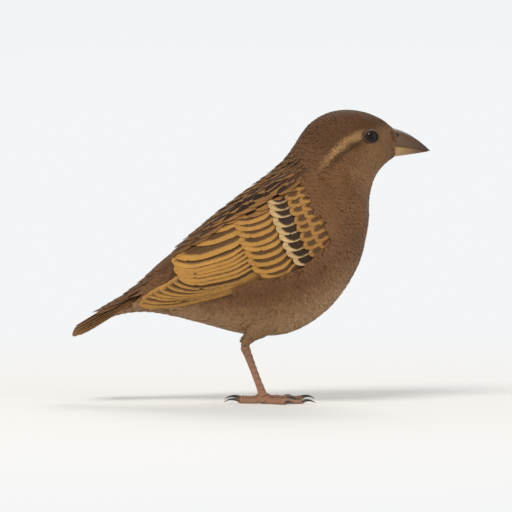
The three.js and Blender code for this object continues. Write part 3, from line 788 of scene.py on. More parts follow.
def lay_on(surface, flow_sign, roots, turn, along, across, height):
    """Points of feathers that follow a surface from their roots, lifted by height.

    roots is p and q of each feather, turn its heading off the run of the coat, and along,
    across and height have one row for each feather and one column for each of its points.
    """
    c, s = np.cos(turn)[:, None], np.sin(turn)[:, None]
    forward, sideways = along * c - across * s, along * s + across * c
    p, q = roots[:, :1], roots[:, 1:]
    dp, dq = 0.0, 0.0
    for _ in range(2):  # with the run at the roots first, and then with that half way
        _, flow, side, _, by_p, by_q = tangents(surface, p + dp / 2, q + dq / 2, flow_sign)
        dp, dq = steps_to(forward, sideways, flow, side, by_p, by_q)
    here, _, _, normal, _, _ = tangents(surface, p + dp, q + dq, flow_sign)
    return here + height[..., None] * normal


class Leaf:
    """A small feather: a closed leaf with a frayed tip, s along it and q across it."""

    SIDE = [(0.22, 0.34), (0.58, 0.5)]
    SPINE = [(0.35, 0.0), (0.74, 0.0)]
    TIP = 0.62  # where the round of the tip has its middle
    BARBS = 8  # ends of barbs round the tip
    NOTCH = 0.8  # how deep the gaps between them reach

    def __init__(self):
        count = 2 * self.BARBS - 1
        angles = np.radians(np.linspace(-82, 82, count))
        radii = np.where(np.arange(count) % 2, self.NOTCH, 1.0)
        tip = stacked(self.TIP + 0.38 * radii * np.cos(angles), 0.5 * radii * np.sin(angles))
        left = [(s, -q) for s, q in self.SIDE]
        rim = np.vstack([[(0, 0)], left, tip, self.SIDE[::-1]])
        self.plan = np.vstack([rim, self.SPINE])
        self.rim = len(rim)
        self.tip = slice(1 + len(left), 1 + len(left) + count)
        near = np.digitize(rim[:, 0], [0.55]) + self.rim
        top, under = [], []
        for i in range(self.rim):
            k = (i + 1) % self.rim
            top.append((i, k, near[i]))
            if near[k] != near[i]:
                top.append((k, near[k], near[i]))
        for i in range(1, self.rim - 1):
            under.append((0, i + 1, i))
        self.faces = np.array(top + under)
        self.mirror = np.concatenate([[0], np.arange(self.rim - 1, 0, -1),
                                      np.arange(self.rim, len(self.plan))])
        ring = np.arange(self.rim)
        self.crease = np.zeros((len(self.plan), len(self.plan)), bool)
        self.crease[ring, np.roll(ring, -1)] = self.crease[np.roll(ring, -1), ring] = True


LEAF = Leaf()


def leaves(surface, flow_sign, roots, *, length, width, turn, low, high, camber, draw,
           flare=0.0, mould=None):
    """Points of many leaves.

    low and high are the heights of root and tip over the surface. mould moves the points,
    given with their heights over the roots.
    """
    count, size = len(roots), len(LEAF.plan)
    s = np.broadcast_to(LEAF.plan[:, 0], (count, size)).copy()
    q = np.broadcast_to(LEAF.plan[:, 1], (count, size)).copy()
    fray = draw.normal(1, 0.08, (count, LEAF.tip.stop - LEAF.tip.start))
    s[:, LEAF.tip] = LEAF.TIP + (s[:, LEAF.tip] - LEAF.TIP) * fray
    q[:, LEAF.tip] *= fray
    rise = (high - low)[:, None] * s ** 0.8 - camber[:, None] * (2 * q) ** 2
    rise = rise + flare * draw.normal(0, 1, (count, size)) * s
    rise[:, LEAF.rim:] += 0.04
    points = lay_on(surface, flow_sign, roots, turn, s * length[:, None], q * width[:, None],
                    low[:, None] + rise)
    return points if mould is None else mould(points, rise)


def scatter(surface, p_range, q_range, spacing, draw, tries=14):
    """Roots spread evenly over a surface, no two nearer than spacing says at their place."""
    p0, p1 = p_range
    q0, q1 = q_range
    cells = 90
    grid_p, grid_q = grid(np.linspace(p0, p1, cells), np.linspace(q0, q1, cells))
    here, _, _, _, by_p, by_q = tangents(surface, grid_p, grid_q, 1)
    area = np.linalg.norm(np.cross(by_p, by_q), axis=-1)
    need = area / spacing(here, grid_p) ** 2
    wanted = int(need.mean() * (p1 - p0) * (q1 - q0) * tries)
    p, q = draw.uniform(p0, p1, wanted * 4), draw.uniform(q0, q1, wanted * 4)
    cell = need[((p - p0) / (p1 - p0) * cells).astype(int) % cells,
                ((q - q0) / (q1 - q0) * cells).astype(int) % cells]
    kept = draw.uniform(0, need.max(), len(p)) < cell
    p, q = p[kept][:wanted], q[kept][:wanted]
    points = surface(p, q)
    return spaced(points, spacing(points, p), stacked(p, q))


def evenly(gap):
    """A spacing for scatter that is the same everywhere."""
    return lambda points, p: np.full(np.shape(p), gap)


def spaced(points, apart, rows):
    """The rows whose points keep apart from the points of all rows kept before them."""
    size = float(apart.max())
    near = list(itertools.product((-1, 0, 1), repeat=3))
    full = {}
    kept = []
    cells = np.floor(points / size).astype(int).tolist()
    for i, ((x, y, z), (a, b, c), gap) in enumerate(zip(points.tolist(), cells, apart.tolist())):
        if all((px - x) ** 2 + (py - y) ** 2 + (pz - z) ** 2 >= gap * gap
               for da, db, dc in near
               for px, py, pz in full.get((a + da, b + db, c + dc), ())):
            full.setdefault((a, b, c), []).append((x, y, z))
            kept.append(i)
    return rows[kept]


PATCH = 0.003  # how wide a feather's patch is on the map that the colours are baked through
LEAF_MIDDLE, LEAF_REACH = 0.5, 0.8  # width and reach of the middle colour of small feathers


def coat_piece(name, points, middle, fringe, bake, slot="plumage"):
    """One object of many leaves, with their colours and maps."""
    count, per = points.shape[:2]
    faces = (LEAF.faces[None] + per * np.arange(count)[:, None, None]).reshape(-1, 3)
    plan = np.broadcast_to(LEAF.plan, (count, per, 2))
    vane = stacked(plan[..., 1] * 2, plan[..., 0])
    patch = bake[:, None] + PATCH * (plan - [0.5, 0.0])
    draw = np.random.default_rng(count)
    tone = draw.normal(1, 0.03, (count, 1)) + draw.normal(0, 0.01, (count, 3))

    made = make_object(name, points, faces, sharp=LEAF.crease,
                       uvs={"Vane": vane.reshape(-1, 2), "OFBake": patch.reshape(-1, 2)})
    for key, colour, alpha in (("Middle", middle, LEAF_MIDDLE), ("Fringe", fringe, LEAF_REACH)):
        paint(made.data, key, np.repeat(colour * tone, per, axis=0), alpha)
    dress(made, PLUMAGE, slot)


def body_map(roots):
    """Places of roots on an unwrap of the body: along it, and round it from the belly."""
    along = 0.02 + 0.62 * (roots[:, 0] + 1) / (FACE + 2)
    return stacked(along, 0.02 + 0.96 * (roots[:, 1] % (2 * np.pi)) / (2 * np.pi))


def wing_map(roots, side):
    """Places of roots on the wing, beside the body on the same map."""
    along = 0.68 + 0.14 * (roots[:, 0] + 5) / 90
    return stacked(along, 0.25 + 0.5 * (side < 0) + 0.2 * roots[:, 1] / 30)


def thigh_map(roots, side):
    """Places of roots on the thigh, beside the wing on the same map."""
    round_leg = (roots[:, 1] % (2 * np.pi)) / (2 * np.pi)
    return stacked(0.86 + 0.12 * roots[:, 0], 0.02 + 0.46 * (side < 0) + 0.44 * round_leg)


# ---- coat of the body

# Length of the small feathers, the gap between their roots and the coat's depth, by station.
COAT = np.array([
    [8.4, 0.85, 1.0], [8.0, 0.8, 1.1], [7.6, 0.76, 1.2], [7.2, 0.73, 1.3], [6.8, 0.7, 1.3],
    [6.4, 0.67, 1.3], [5.9, 0.64, 1.2], [5.3, 0.6, 1.1], [4.6, 0.56, 1.0], [3.9, 0.52, 0.9],
    [3.3, 0.47, 0.8], [2.8, 0.42, 0.7], [2.35, 0.37, 0.6], [1.95, 0.32, 0.5], [1.6, 0.27, 0.4],
])
EYE_ROOM = 2.5  # kept free of feathers round the middle of the eye


def coat_row(t):
    """Length, gap and depth of the coat at station t."""
    return spline(COAT, np.clip(t, 0, FACE))


def eye_gap(points):
    """Distance from the middle of the nearer eye in the side view, shorter along the lids."""
    gap = np.hypot((points[..., 0] - EYE.at[0]) / 1.1, (points[..., 2] - EYE.at[1]) / 0.97)
    return np.where(np.abs(points[..., 1]) > 4, gap, 99.0)


def near_eye(points):
    """1 at the lids, and 0 a few millimetres from them."""
    return fall(eye_gap(points), 3.0, 6.5)


FLANK_V = 6.0  # v up to which the feathers beside the wing are those of flank and breast
MIDDLE_STRIP = 2.0  # nothing this near the bird's middle plane is laid by the wings
UNDER_WING = -0.7  # height of what lies under the wing, over the wing's core
# How high the feathers of the folded wing stand over its core: u, height.
CREST = np.array([[-3, 0.2], [1, 1.3], [4, 2.1], [8, 2.3], [13, 2.5], [18, 2.2], [24, 1.9],
                  [32, 1.6], [45, 1.2], [60, 0.9]])


def by_the_wings(over):
    """A mould that lays feathers over the wing where over says so, and under it elsewhere."""

    def mould(points, rise):
        u, v, lift = wing_place(points)
        depth = in_wing(u, v)
        _, upper_edge = wing_edges(u)
        crest = np.interp(u, *CREST.T)
        scapular = 0.8 * smooth(v, upper_edge - 7, upper_edge - 1) * fall(u, 24, 36)
        above = np.maximum(lift, pressed(u, v, crest) + scapular + 0.1 + 0.5 * rise)
        snug = smooth(u, 36, 44)
        below = UNDER_WING + 0.25 * rise
        below = between(below, np.minimum(lift, below), 1 - snug)
        far = np.where(v > FLANK_V, -5.0, -2.8)
        share = np.where(over[:, None], smooth(depth, far, 1.2), smooth(depth, -3.2, 0.5))
        share = share * (np.abs(points[..., 1]) > MIDDLE_STRIP)
        moved = wing_point(u, v, np.where(over[:, None], above, below))
        moved *= mirror_like(points)
        return over_the_thighs(between(points, moved, share[..., None]), rise)

    return mould


def over_the_thighs(points, rise):
    """Lays feathers of the flank and belly over the upper parts of the thighs."""
    out = points.copy()
    for side in (1, -1):
        share, from_line = beside_line(points, *thigh_line(side))
        s = np.clip(share, 0, 1)
        away = np.linalg.norm(from_line, axis=-1)
        wanted = (thigh_radius(s) + 0.15 + 0.5 * rise) * (1 - 0.3 * smooth(s, 0.25, 0.6))
        push = np.where((points[..., 1] * side > 0) & (away < wanted), wanted / away, 1.0)
        out += (push - 1)[..., None] * from_line
    return out


def off_the_eyes(points):
    """Pushes points out of the openings of the eyes, in the side view."""
    out = points.copy()
    gap = eye_gap(points)
    scale = np.where(gap < EYE_ROOM, EYE_ROOM / np.maximum(gap, 0.3), 1)
    for axis, middle in ((0, EYE.at[0]), (2, EYE.at[1])):
        out[..., axis] = middle + (points[..., axis] - middle) * scale
    return out


def round_tail(points, top):
    """Keeps the tail coverts above or below the tail's own feathers."""
    height = (points - TAIL_TIP) @ TAIL_UP
    near = smooth(-points[..., 0], 34, 42)
    droop = 0.25 * np.abs(points[..., 1])
    wanted = np.where(top[:, None], np.maximum(height, 0.5 - droop),
                      np.minimum(height, -2.9 - droop * 0.2))
    return points + ((wanted - height) * near)[..., None] * TAIL_UP


def lies_over(points):
    """Whether feathers rooted at points lie over the wing: those of flank, breast and back."""
    u, v, _ = wing_place(points)
    return np.where(v > FLANK_V, u < 30, u < 37)


def on_mantle(t, up):
    """Where the larger feathers of the mantle grow, from 0 to 1."""
    return smooth(up, 0.42, 0.62) * smooth(t, 2.5, 2.9) * fall(t, 7.5, 8.2)


def body_coat():
    """Small feathers from the face to the tail coverts, but for what the wings cover."""
    draw = draws("coat")

    def spacing(points, t):
        return coat_row(t)[..., 1] * (1 - 0.3 * near_eye(points))

    roots = scatter(body_point, (0.0, FACE_END), (0, 2 * np.pi), spacing, draw)
    points = body_point(*roots.T)
    u, v, _ = wing_place(points)
    up = np.sin(roots[:, 1])
    over = lies_over(points)
    on_edge = np.where(over & (v < FLANK_V), 1.6 - 2.0 * smooth(u, 24, 41), 3.0)
    clear = (in_wing(u, v) < on_edge) & (eye_gap(points) > EYE_ROOM - 0.1)
    clear &= on_mantle(roots[:, 0], up) < 0.8
    clear &= (roots[:, 0] > 1.6) | (np.abs(up) < 0.5)
    roots, points, up, over = roots[clear], points[clear], up[clear], over[clear]
    t, angle = roots.T
    row = coat_row(t)
    count = len(roots)
    length = row[:, 0] * draw.normal(1, 0.08, count) * (1 - 0.35 * near_eye(points))
    length *= 0.55 + 0.45 * smooth(t, 0, 2)
    width = length * draw.normal(0.53, 0.03, count)
    side = np.where(np.cos(angle) > 0, 1.0, -1.0)
    turn = draw.normal(0, 0.08, count) + 0.12 * drift(points, 9.0, 21)
    turn += side * 0.10 * smooth(up, 0.2, 0.7) * (t < 9)
    depth = row[:, 2]
    high = depth * draw.normal(0.14, 0.045, count)
    high -= 0.5 * smooth(up, 0.38, 0.55) * smooth(t, 2.0, 2.5) * (t < 3)
    made = leaves(body_point, -1, roots, length=length, width=width, turn=turn, low=-depth,
                  high=high, camber=0.05 * width, draw=draw, flare=0.02,
                  mould=by_the_wings(over))
    made = round_tail(off_the_eyes(made), up > 0)
    middle, fringe = markings(points, up)
    shade = (1 + 0.06 * drift(points, 6.0, 5))[:, None]
    bake = body_map(roots)
    parts = {
        "coat_face": t > 12.2,
        "coat_crown": (t > 10.2) & (t <= 12.2),
        "coat_neck": (t > 8.0) & (t <= 10.2),
        "coat_breast": (t > 6.2) & (t <= 8.0),
        "coat_flanks": (t > 4.6) & (t <= 6.2),
        "coat_belly": (t <= 4.6) & (up < 0),
        "coat_back": (t <= 4.6) & (up >= 0),
    }
    for name, part in parts.items():
        coat_piece(name, made[part], middle[part] * shade[part], fringe[part] * shade[part],
                   bake[part])


def short_leaves(surface, roots, draw, *, length, varied, width, turned, low, high, camber,
                 flare=0.0):
    """Points of small feathers that run with p.

    varied, turned and the second part of high are how far length, heading and the height of the
    tips spread; width and camber are shares of the length.
    """
    count = len(roots)
    length = length * draw.normal(1, varied, count)
    return leaves(surface, 1, roots, length=length, width=width * length,
                  turn=draw.normal(0, turned, count), low=np.full(count, low),
                  high=draw.normal(*high, count), camber=camber * length, draw=draw, flare=flare)


def face_edge():
    """Short feathers that point forward from the lores over the nostrils."""
    draw = draws("bill_edge")
    roots = scatter(body_point, (13.85, 14.3), (0, 2 * np.pi), evenly(0.3), draw)
    roots = roots[np.abs(np.sin(roots[:, 1]) - 0.45) < 0.3]
    made = short_leaves(body_point, roots, draw, length=1.15, varied=0.12 / 1.15, width=0.4,
                        turned=0.16, low=-0.35, high=(-0.05, 0.03), camber=0.03)
    middle, fringe = markings(body_point(*roots.T), np.sin(roots[:, 1]))
    coat_piece("coat_bill_edge", made, middle, fringe, body_map(roots))


def thigh_coat(side, name):
    """Short feathers down the thigh, longest at the hip."""
    draw = draws("thigh", side)
    surface = thigh_surface(side)
    roots = scatter(surface, (0.2, 1.04), (0, 2 * np.pi), evenly(0.5), draw)
    made = short_leaves(surface, roots, draw, length=4.8 - 2.8 * roots[:, 0], varied=0.1,
                        width=0.42, turned=0.12, low=-0.8, high=(0.1, 0.07), camber=0.04,
                        flare=0.03)
    at_hip = markings(surface(*roots.T), np.full(len(roots), -0.7))
    share = smooth(roots[:, 0], 0.3, 0.9)
    middle, fringe = (blend(at_hip[k], THIGH[k], share) for k in (0, 1))
    coat_piece(name, made, middle, fringe, thigh_map(roots, side))


# ---- vanes of wing and tail

class Vane:
    """The grid of a large feather: its faces, its creases and its place on the maps."""

    ACROSS = np.array([-1, -0.82, -0.5, -0.2, -0.12, -0.04, 0.4, 0.8, 1.0])
    SHAFT = 4  # the column of the shaft

    def __init__(self, rows, across=ACROSS, shaft=SHAFT):
        self.s = 1 - (1 - np.linspace(0, 1, rows)) ** 1.5
        self.across, self.shaft = across, shaft
        self.rows, self.columns = rows, len(across)
        count = rows * self.columns
        self.size = 2 * count
        rim = ([(0, j) for j in range(self.columns)]
               + [(i, self.columns - 1) for i in range(1, rows)]
               + [(rows - 1, j) for j in range(self.columns - 2, -1, -1)]
               + [(i, 0) for i in range(rows - 2, 0, -1)])
        ring = np.array([i * self.columns + j for i, j in rim])
        after = np.roll(ring, -1)
        top = grid_faces(rows, self.columns)
        band = stacked(ring, ring + count, after + count, after)
        self.faces = np.vstack([top[:, ::-1], top + count, band[:, ::-1]])
        self.crease = np.zeros((self.size, self.size), bool)
        for offset in (0, count):
            self.crease[ring + offset, after + offset] = True
            self.crease[after + offset, ring + offset] = True
        plan = stacked(across, self.s[:, None])
        self.plan = np.concatenate([plan.reshape(-1, 2)] * 2)

    def outline(self, roundness, grown, root=0.5):
        """Half width along the feather, as a share of its greatest."""
        q = np.clip((self.s - (1 - roundness)) / roundness, 0, 1)
        grow = between(root, 1, smooth(self.s, *grown))
        return grow * np.maximum(0.05, np.sqrt(1 - q * q))

    def form(self, draw, *, width, lift, tilt, roundness, camber=0.25, grown=(0.0, 0.4), splits=2,
             thickness=0.16):
        """How far along and across, and how high, the points of one feather lie."""
        outline = self.outline(roundness, grown)[:, None]
        across = self.across[None] * outline * width / 2
        ragged = 1 + draw.normal(0, 0.01, (self.rows, 2))
        for _ in range(splits):
            row = draw.integers(self.rows // 2, self.rows - 1)
            ragged[row, draw.integers(2)] = draw.uniform(0.8, 0.93)
        across[:, 0] *= ragged[:, 0]
        across[:, -1] *= ragged[:, 1]
        along = np.repeat(self.s[:, None], self.columns, axis=1)
        height = between(*lift, along) - tilt * across
        height = height + camber * (1 - self.across[None] ** 2) * outline
        height[:, self.shaft] += 0.09 * (1 - 0.6 * self.s)
        both = [np.concatenate([part.ravel()] * 2) for part in (along, across)]
        return (*both, np.concatenate([height.ravel(), height.ravel() - thickness]))


FINE_VANE = Vane(30)
SMALL_VANE = Vane(13, np.array([-1, -0.7, -0.18, -0.1, -0.02, 0.5, 1.0]), shaft=3)


def vane_piece(name, kind, vanes, material, slot, *nodes):
    """One object of many vanes.

    Each vane is its points, whether they are mirrored, its two colours, and the width and reach
    of the middle one.
    """
    count, per = len(vanes), kind.size
    faces = np.array([kind.faces[:, ::-1] if v["mirrored"] else kind.faces for v in vanes])
    faces = (faces + per * np.arange(count)[:, None, None]).reshape(-1, 4)
    # On the map for baking the upper and lower sides of each vane lie in cells of their own.
    columns = 4 * math.ceil(math.sqrt(count / 2))
    rows = math.ceil(2 * count / columns)
    cells = np.arange(2 * count)
    corner = stacked(cells % columns / columns, cells // columns / rows)
    inner = (kind.plan[: per // 2] * [0.5, 1] + [0.5, 0]) * 0.9 + 0.05
    bake = corner.reshape(count, 2, 1, 2) + inner * np.array([1 / columns, 1 / rows])
    place = np.concatenate([kind.plan + [v["aside"], 0] for v in vanes])
    made = make_object(name, [v["points"] for v in vanes], faces, sharp=kind.crease,
                       uvs={"Vane": place, "OFBake": bake.reshape(-1, 2)})
    for key, alpha in (("middle", "width"), ("fringe", "reach")):
        paint(made.data, key.capitalize(), np.repeat([v[key] for v in vanes], per, axis=0),
              np.repeat([v[alpha] for v in vanes], per))
    dress(made, material, slot, *nodes)


def one_vane(points, side, colours, draw, width, reach, variety=0.04, aside=0.0):
    """A vane of the left side, or its mirror image, with its colours.

    aside moves the middle colour towards one web, as a share of half the vane's width.
    """
    tone = draw.normal(1, variety)
    return dict(points=points * [1, side, 1], mirrored=side < 0, middle=colours[0] * tone,
                fringe=colours[1] * tone, width=width, reach=reach, aside=aside)


def lay_vanes(surface, flow_sign, roots, length, turn, forms):
    """Points and heights of vanes that follow a surface from their roots."""
    along, across, height = (np.array(part) for part in zip(*forms))
    along = along * np.reshape(length, (-1, 1))
    return lay_on(surface, flow_sign, roots, turn, along, across, height), height


# Rows of the wing's vanes, outermost feather first: how many, u and v of the roots and of the
# tips of the first and the last, how far the tips between these bulge, their widths, the heights
# over the wing's core at root and tip, tilt, sideways bow, roundness of the tip, colours, and
# the width and reach of the dark middle.
WING_ROWS = {
    "primaries": (9, [[28, -3.4], [28, 0.2]], [[71.5, -1.8], [60, 2.4]], 5.2,
                  [5.0, 6.8], [0.0, 0.30], 0.24, -1.3, 0.30, PRIMARY, [0.88, 0.97]),
    "secondaries": (6, [[28, 1.6], [28, 9.4]], [[58, 3.6], [58, 9.4]], 0,
                    [7.2, 8.4], [0.25, 0.9], 0.2, -0.6, 0.26, FLIGHT, [0.74, 0.95]),
    "tertials": (3, [[26, 12], [24, 19]], [[56, 10.8], [42, 17.4]], 0,
                 [9.8, 9.6], [0.6, 1.5], 0.12, 0.6, 0.42, FLIGHT, [0.66, 0.9]),
    "primary_coverts": (6, [[14, -5.2], [16, -3]], [[25.5, -6.6], [31, -4]], 0,
                        [3.2, 4.0], [0.5, 1.0], 0.2, -0.4, 0.5, PRIMARY, [0.68, 0.92]),
    "greater_coverts": (10, [[17, -2.6], [16, 18.2]], [[31, -3.2], [33, 18.6]], 1.5,
                        [5.6, 7.2], [0.6, 1.75], 0.16, -0.3, 0.5, FLIGHT, [0.62, 0.88]),
    "alula": (3, [[8, -5.0], [8, -3.4]], [[17, -6.8], [22, -5.2]], 0,
              [2.8, 3.4], [0.9, 1.5], 0.2, -0.3, 0.5, PRIMARY, [0.7, 0.92]),
    "median_coverts": (9, [[8.5, -2.2], [8, 17]], [[18.5, -2.8], [19.5, 17.8]], 1.2,
                       [5.6, 6.8], [1.2, 2.25], 0.15, -0.2, 0.6, WING_BAR, [0.92, 0.84]),
    "lesser_back": (9, [[4, -2.6], [3.5, 17]], [[12.6, -3.2], [13.2, 17.6]], 0.6,
                    [4.6, 5.6], [1.5, 2.5], 0.14, -0.1, 0.65, LESSER, [0.6, 0.86]),
    "lesser_middle": (10, [[0.6, -2.4], [0, 17]], [[8.6, -3.0], [8.8, 17.8]], 0.4,
                      [4.0, 4.8], [1.3, 2.4], 0.13, -0.1, 0.65, LESSER, [0.6, 0.86]),
    "lesser_front": (10, [[-1.6, -1.0], [-1.6, 14]], [[4.9, -2.2], [5.0, 16.6]], 0.3,
                     [3.6, 4.4], [0.5, 2.1], 0.12, 0, 0.65, LESSER, [0.6, 0.86]),
}
FLIGHT_ROWS = "primaries", "secondaries", "tertials"


def wing_vane(root, way, form, side, draw, colours, middle, bow=0.0, **more):
    """A vane on the wing: root and way are u and v of its root and from there to its tip."""
    along, across, height = form
    across = across + bow * np.sin(np.pi * along)
    beside = np.array([-way[1], way[0]]) / np.linalg.norm(way)
    u, v = (root[i] + way[i] * along + beside[i] * across for i in (0, 1))
    return one_vane(wing_point(u, v, pressed(u, v, height)), side, colours, draw, *middle, **more)


def wing_row(side, draw, count, roots, tips, bulge, widths, lift, tilt, bow, roundness, colours,
             middle):
    """One row of a wing's vanes."""
    made = []
    for k in range(count):
        share = k / (count - 1)
        root = between(*np.array(roots), share)
        tip = between(*np.array(tips), share) + draw.normal(0, 0.2, 2)
        tip[0] += bulge * math.sin(math.pi * share ** 0.6)
        form = FINE_VANE.form(draw, width=between(*widths, share), lift=lift, tilt=tilt,
                              roundness=roundness)
        made.append(wing_vane(root, tip - root, form, side, draw, colours, middle, bow))
    return made


def marginal_coverts(side, name):
    """The smallest feathers of the wing, along its front edge."""
    draw = draws("marginal", side)
    roots = scatter(shoulder_point, (-2.4, 3.2), (-7.5, 21.0), evenly(0.6), draw)
    low, high = wing_edges(roots[:, 0])
    u, v = roots.T
    corner = 6.0 * np.abs(2 * (v - low) / (high - low) - 1) ** 2.5
    inside = (v > low - 0.3) & (v < high + 0.3) & (u > -2.2 + corner)
    roots = roots[inside]
    u = roots[:, 0]
    made = short_leaves(shoulder_point, roots, draw, length=2.8 + 0.25 * np.clip(u, 0, 4),
                        varied=0.07, width=0.5, turned=0.1, low=-0.5, high=(0.4, 0.05),
                        camber=0.05, flare=0.02)
    made = made * [1, side, 1]
    if side < 0:
        made = made[:, LEAF.mirror]
    front = fall(u, -2, 3)
    middle = blend(LESSER[1] * 0.8, BREAST[0], front)
    fringe = blend(LESSER[1], BREAST[1], front)
    coat_piece(name, made, middle, fringe, wing_map(roots, side), "wing_feathers")


MANTLE_ROWS, MANTLE_COLUMNS = 14, 9  # rows of feathers, and columns on each side of the middle
COLUMN_APART = math.radians(5.8)


def mantle():
    """Columns of larger feathers down the back, streaked along their middles."""
    draw = draws("mantle")
    roots, sides = [], []
    for column in range(-MANTLE_COLUMNS, MANTLE_COLUMNS):
        for row in range(MANTLE_ROWS):
            t = 3.0 + 5.0 * (row + 0.5 * (column % 2)) / MANTLE_ROWS + draw.normal(0, 0.05)
            off_top = COLUMN_APART * (column + 0.5) + draw.normal(0, 0.018)
            roots.append((t, math.pi / 2 - off_top))
            sides.append(-1.0 if column < 0 else 1.0)
    roots, sides = np.array(roots), np.array(sides)
    u, v, _ = wing_place(body_point(*roots.T))
    clear = (in_wing(u, v) < 4.0) & (np.sin(roots[:, 1]) > 0.5)
    roots, sides = roots[clear], sides[clear]
    up_neck = smooth(roots[:, 0], 5.0, 8.0)
    length = (11.5 - 5.5 * up_neck) * draw.normal(1, 0.05, len(roots))
    width = (4.9 - 2.3 * up_neck) * draw.normal(1, 0.06, len(roots))
    depth = coat_row(roots[:, 0])[:, 2]
    forms = [SMALL_VANE.form(draw, width=w, lift=(-d, 0.3 - 0.1 * n), tilt=0.06 * sign,
                             roundness=0.75, camber=0.18, splits=2, thickness=0.12)
             for w, d, n, sign in zip(width, depth, up_neck, sides)]
    turn = -sides * 0.05 + draw.normal(0, 0.05, len(roots))
    points, height = lay_vanes(body_point, -1, roots, length, turn, forms)
    points = by_the_wings(np.ones(len(roots), bool))(points, height - height.min(axis=1)[:, None])
    to_nape, to_rump = smooth(roots[:, 0], 5.8, 7.9), fall(roots[:, 0], 3.0, 4.6)
    colours = [blend(blend(MANTLE[i], NAPE[i], to_nape), RUMP[i], 0.8 * to_rump) for i in (0, 1)]
    vanes = [one_vane(place, 1, pair, draw, 0.62, 1.15, variety=0.07, aside=-0.3 * sign)
             for place, pair, sign in zip(points, zip(*colours), sides)]
    vane_piece("mantle", SMALL_VANE, vanes, COVERTS, "plumage")


# Rows of scapulars, lowest first: u of the first and of the last, how many, and their length.
SCAPULARS = [(16, 27, 4, 15.0), (9, 26, 6, 13.5), (3, 24, 7, 12.0), (-1, 21, 7, 10.0)]


def scapulars(side, name):
    """Rows of larger feathers from the back over the upper edge of the wing."""
    draw = draws("scapulars", side)
    vanes = []
    for row, (first, last, count, reach) in enumerate(SCAPULARS):
        for k in range(count):
            u = first + (last - first) * k / (count - 1) - reach * 0.4 + draw.normal(0, 0.3)
            _, high = wing_edges(u + reach / 2)
            v = high + 0.9 - 1.3 * (3 - row) + draw.normal(0, 0.45)
            heading = 0.10 + 0.03 * (3 - row)
            way = reach * math.cos(heading), -reach * math.sin(heading)
            form = SMALL_VANE.form(draw, width=0.42 * reach, tilt=0.08, roundness=0.7,
                                   lift=(0.3 + 0.22 * row, 2.2 + 0.2 * row), thickness=0.12)
            vanes.append(wing_vane((u, v), way, form, side, draw, MANTLE, (0.6, 1.1),
                                   variety=0.06, aside=-0.3))
    vane_piece(name, SMALL_VANE, vanes, COVERTS, "plumage")


def build_wing(side, label):
    """All feathers of one folded wing, and the scapulars over it."""
    draw = draws("wing", side)
    flight, coverts = [], []
    for key, row in WING_ROWS.items():
        (flight if key in FLIGHT_ROWS else coverts).extend(wing_row(side, draw, *row))
    vane_piece(f"wing_{label}_flight", FINE_VANE, flight, FLIGHT_VANES, "wing_feathers",
               f"wing_{label}")
    vane_piece(f"wing_{label}_coverts", FINE_VANE, coverts, COVERTS, "wing_feathers")
    marginal_coverts(side, f"wing_{label}_marginal")
    scapulars(side, f"scapulars_{label}")


def build_tail():
    """Twelve tail feathers, the middle pair on top."""
    draw = draws("tail")
    vanes = []
    for k in range(TAIL.pairs):
        shorter = TAIL.notch * (1 - k / (TAIL.pairs - 1)) ** 1.5
        root_y, tip_y = 0.6 + TAIL.root_spread * k, 0.8 + TAIL.tip_spread * k
        roll = TAIL.roll * (k + 0.5)
        for side in (1, -1):
            s, across, lift = FINE_VANE.form(draw, width=TAIL.width * (1 - 0.02 * k),
                                             lift=(0, 0), tilt=0, roundness=0.2, camber=0.12,
                                             grown=(0.15, 0.75))
            y = between(root_y, tip_y, s) - across * math.cos(roll)
            height = lift - TAIL.drop * k + across * math.sin(roll)
            height = height - (0.25 if k == 0 and side < 0 else 0)
            shape = TAIL.shown * (s - 1) - shorter * s
            points = (TAIL_TIP + shape[:, None] * TAIL_BACK + height[:, None] * TAIL_UP
                      + y[:, None] * [0, 1, 0])
            # The narrow web of the grid, before its shaft, is turned to the outer side.
            vanes.append(one_vane(points, side, RECTRIX, draw, 0.84, 0.98, variety=0.03))
            vanes[-1]["mirrored"] = side > 0
    vane_piece("tail_feathers", FINE_VANE, vanes, FLIGHT_VANES, "tail_feathers", "tail")


# Lines in the side view that the coverts above and below the tail follow, x and z.
OVER_TAIL = np.array([[-26, 54.0], [-33, 47.6], [-39.5, 41.7], [-45.5, 37.1], [-52, 33.2],
                      [-58.5, 29.3], [-65, 25.4]])
UNDER_TAIL = np.array([[-18, 27.6], [-25, 29.6], [-32, 31.2], [-39, 31.7], [-46, 30.8],
                       [-52, 28.6], [-58, 25.2]])
COVERT_ROWS = 9


def tail_coverts(above, name):
    """The larger feathers that lie over or under the root of the tail."""
    draw = draws("coverts", above)
    line, turned, droop = (OVER_TAIL, -1, 0.045) if above else (UNDER_TAIL, 1, -0.05)

    def surface(p, q):
        place = spline(line, p)
        return stacked(place[..., 0], turned * q, place[..., 1] - droop * q ** 2)

    roots, length, width = [], [], []
    for row in range(COVERT_ROWS):
        back = row / (COVERT_ROWS - 1)
        half = 5.4 - 1.6 * back
        odd = row % 2
        count = 6 - odd
        for k in range(count):
            y = half * (2 * k / (count - 1) - 1) * (0.82 if odd else 1)
            roots.append((0.35 + 2.5 * back - 0.035 * abs(y) + draw.normal(0, 0.03),
                          y + draw.normal(0, 0.15)))
            length.append(8.5 + 3.5 * back + draw.normal(0, 0.3))
            width.append(3.3 + 1.5 * back)
    roots = np.array(roots)
    forms = [SMALL_VANE.form(draw, width=w, lift=(-1.0, 0.25), tilt=0, roundness=0.7,
                             camber=0.15, thickness=0.12) for w in width]
    turn = 0.02 * roots[:, 1] + draw.normal(0, 0.04, len(roots))
    points, _ = lay_vanes(surface, 1, roots, length, turn, forms)
    vanes = [one_vane(place, 1, RUMP if above else VENT, draw, 0.6, 0.92) for place in points]
    vane_piece(name, SMALL_VANE, vanes, COVERTS, "plumage")


# ---- skin

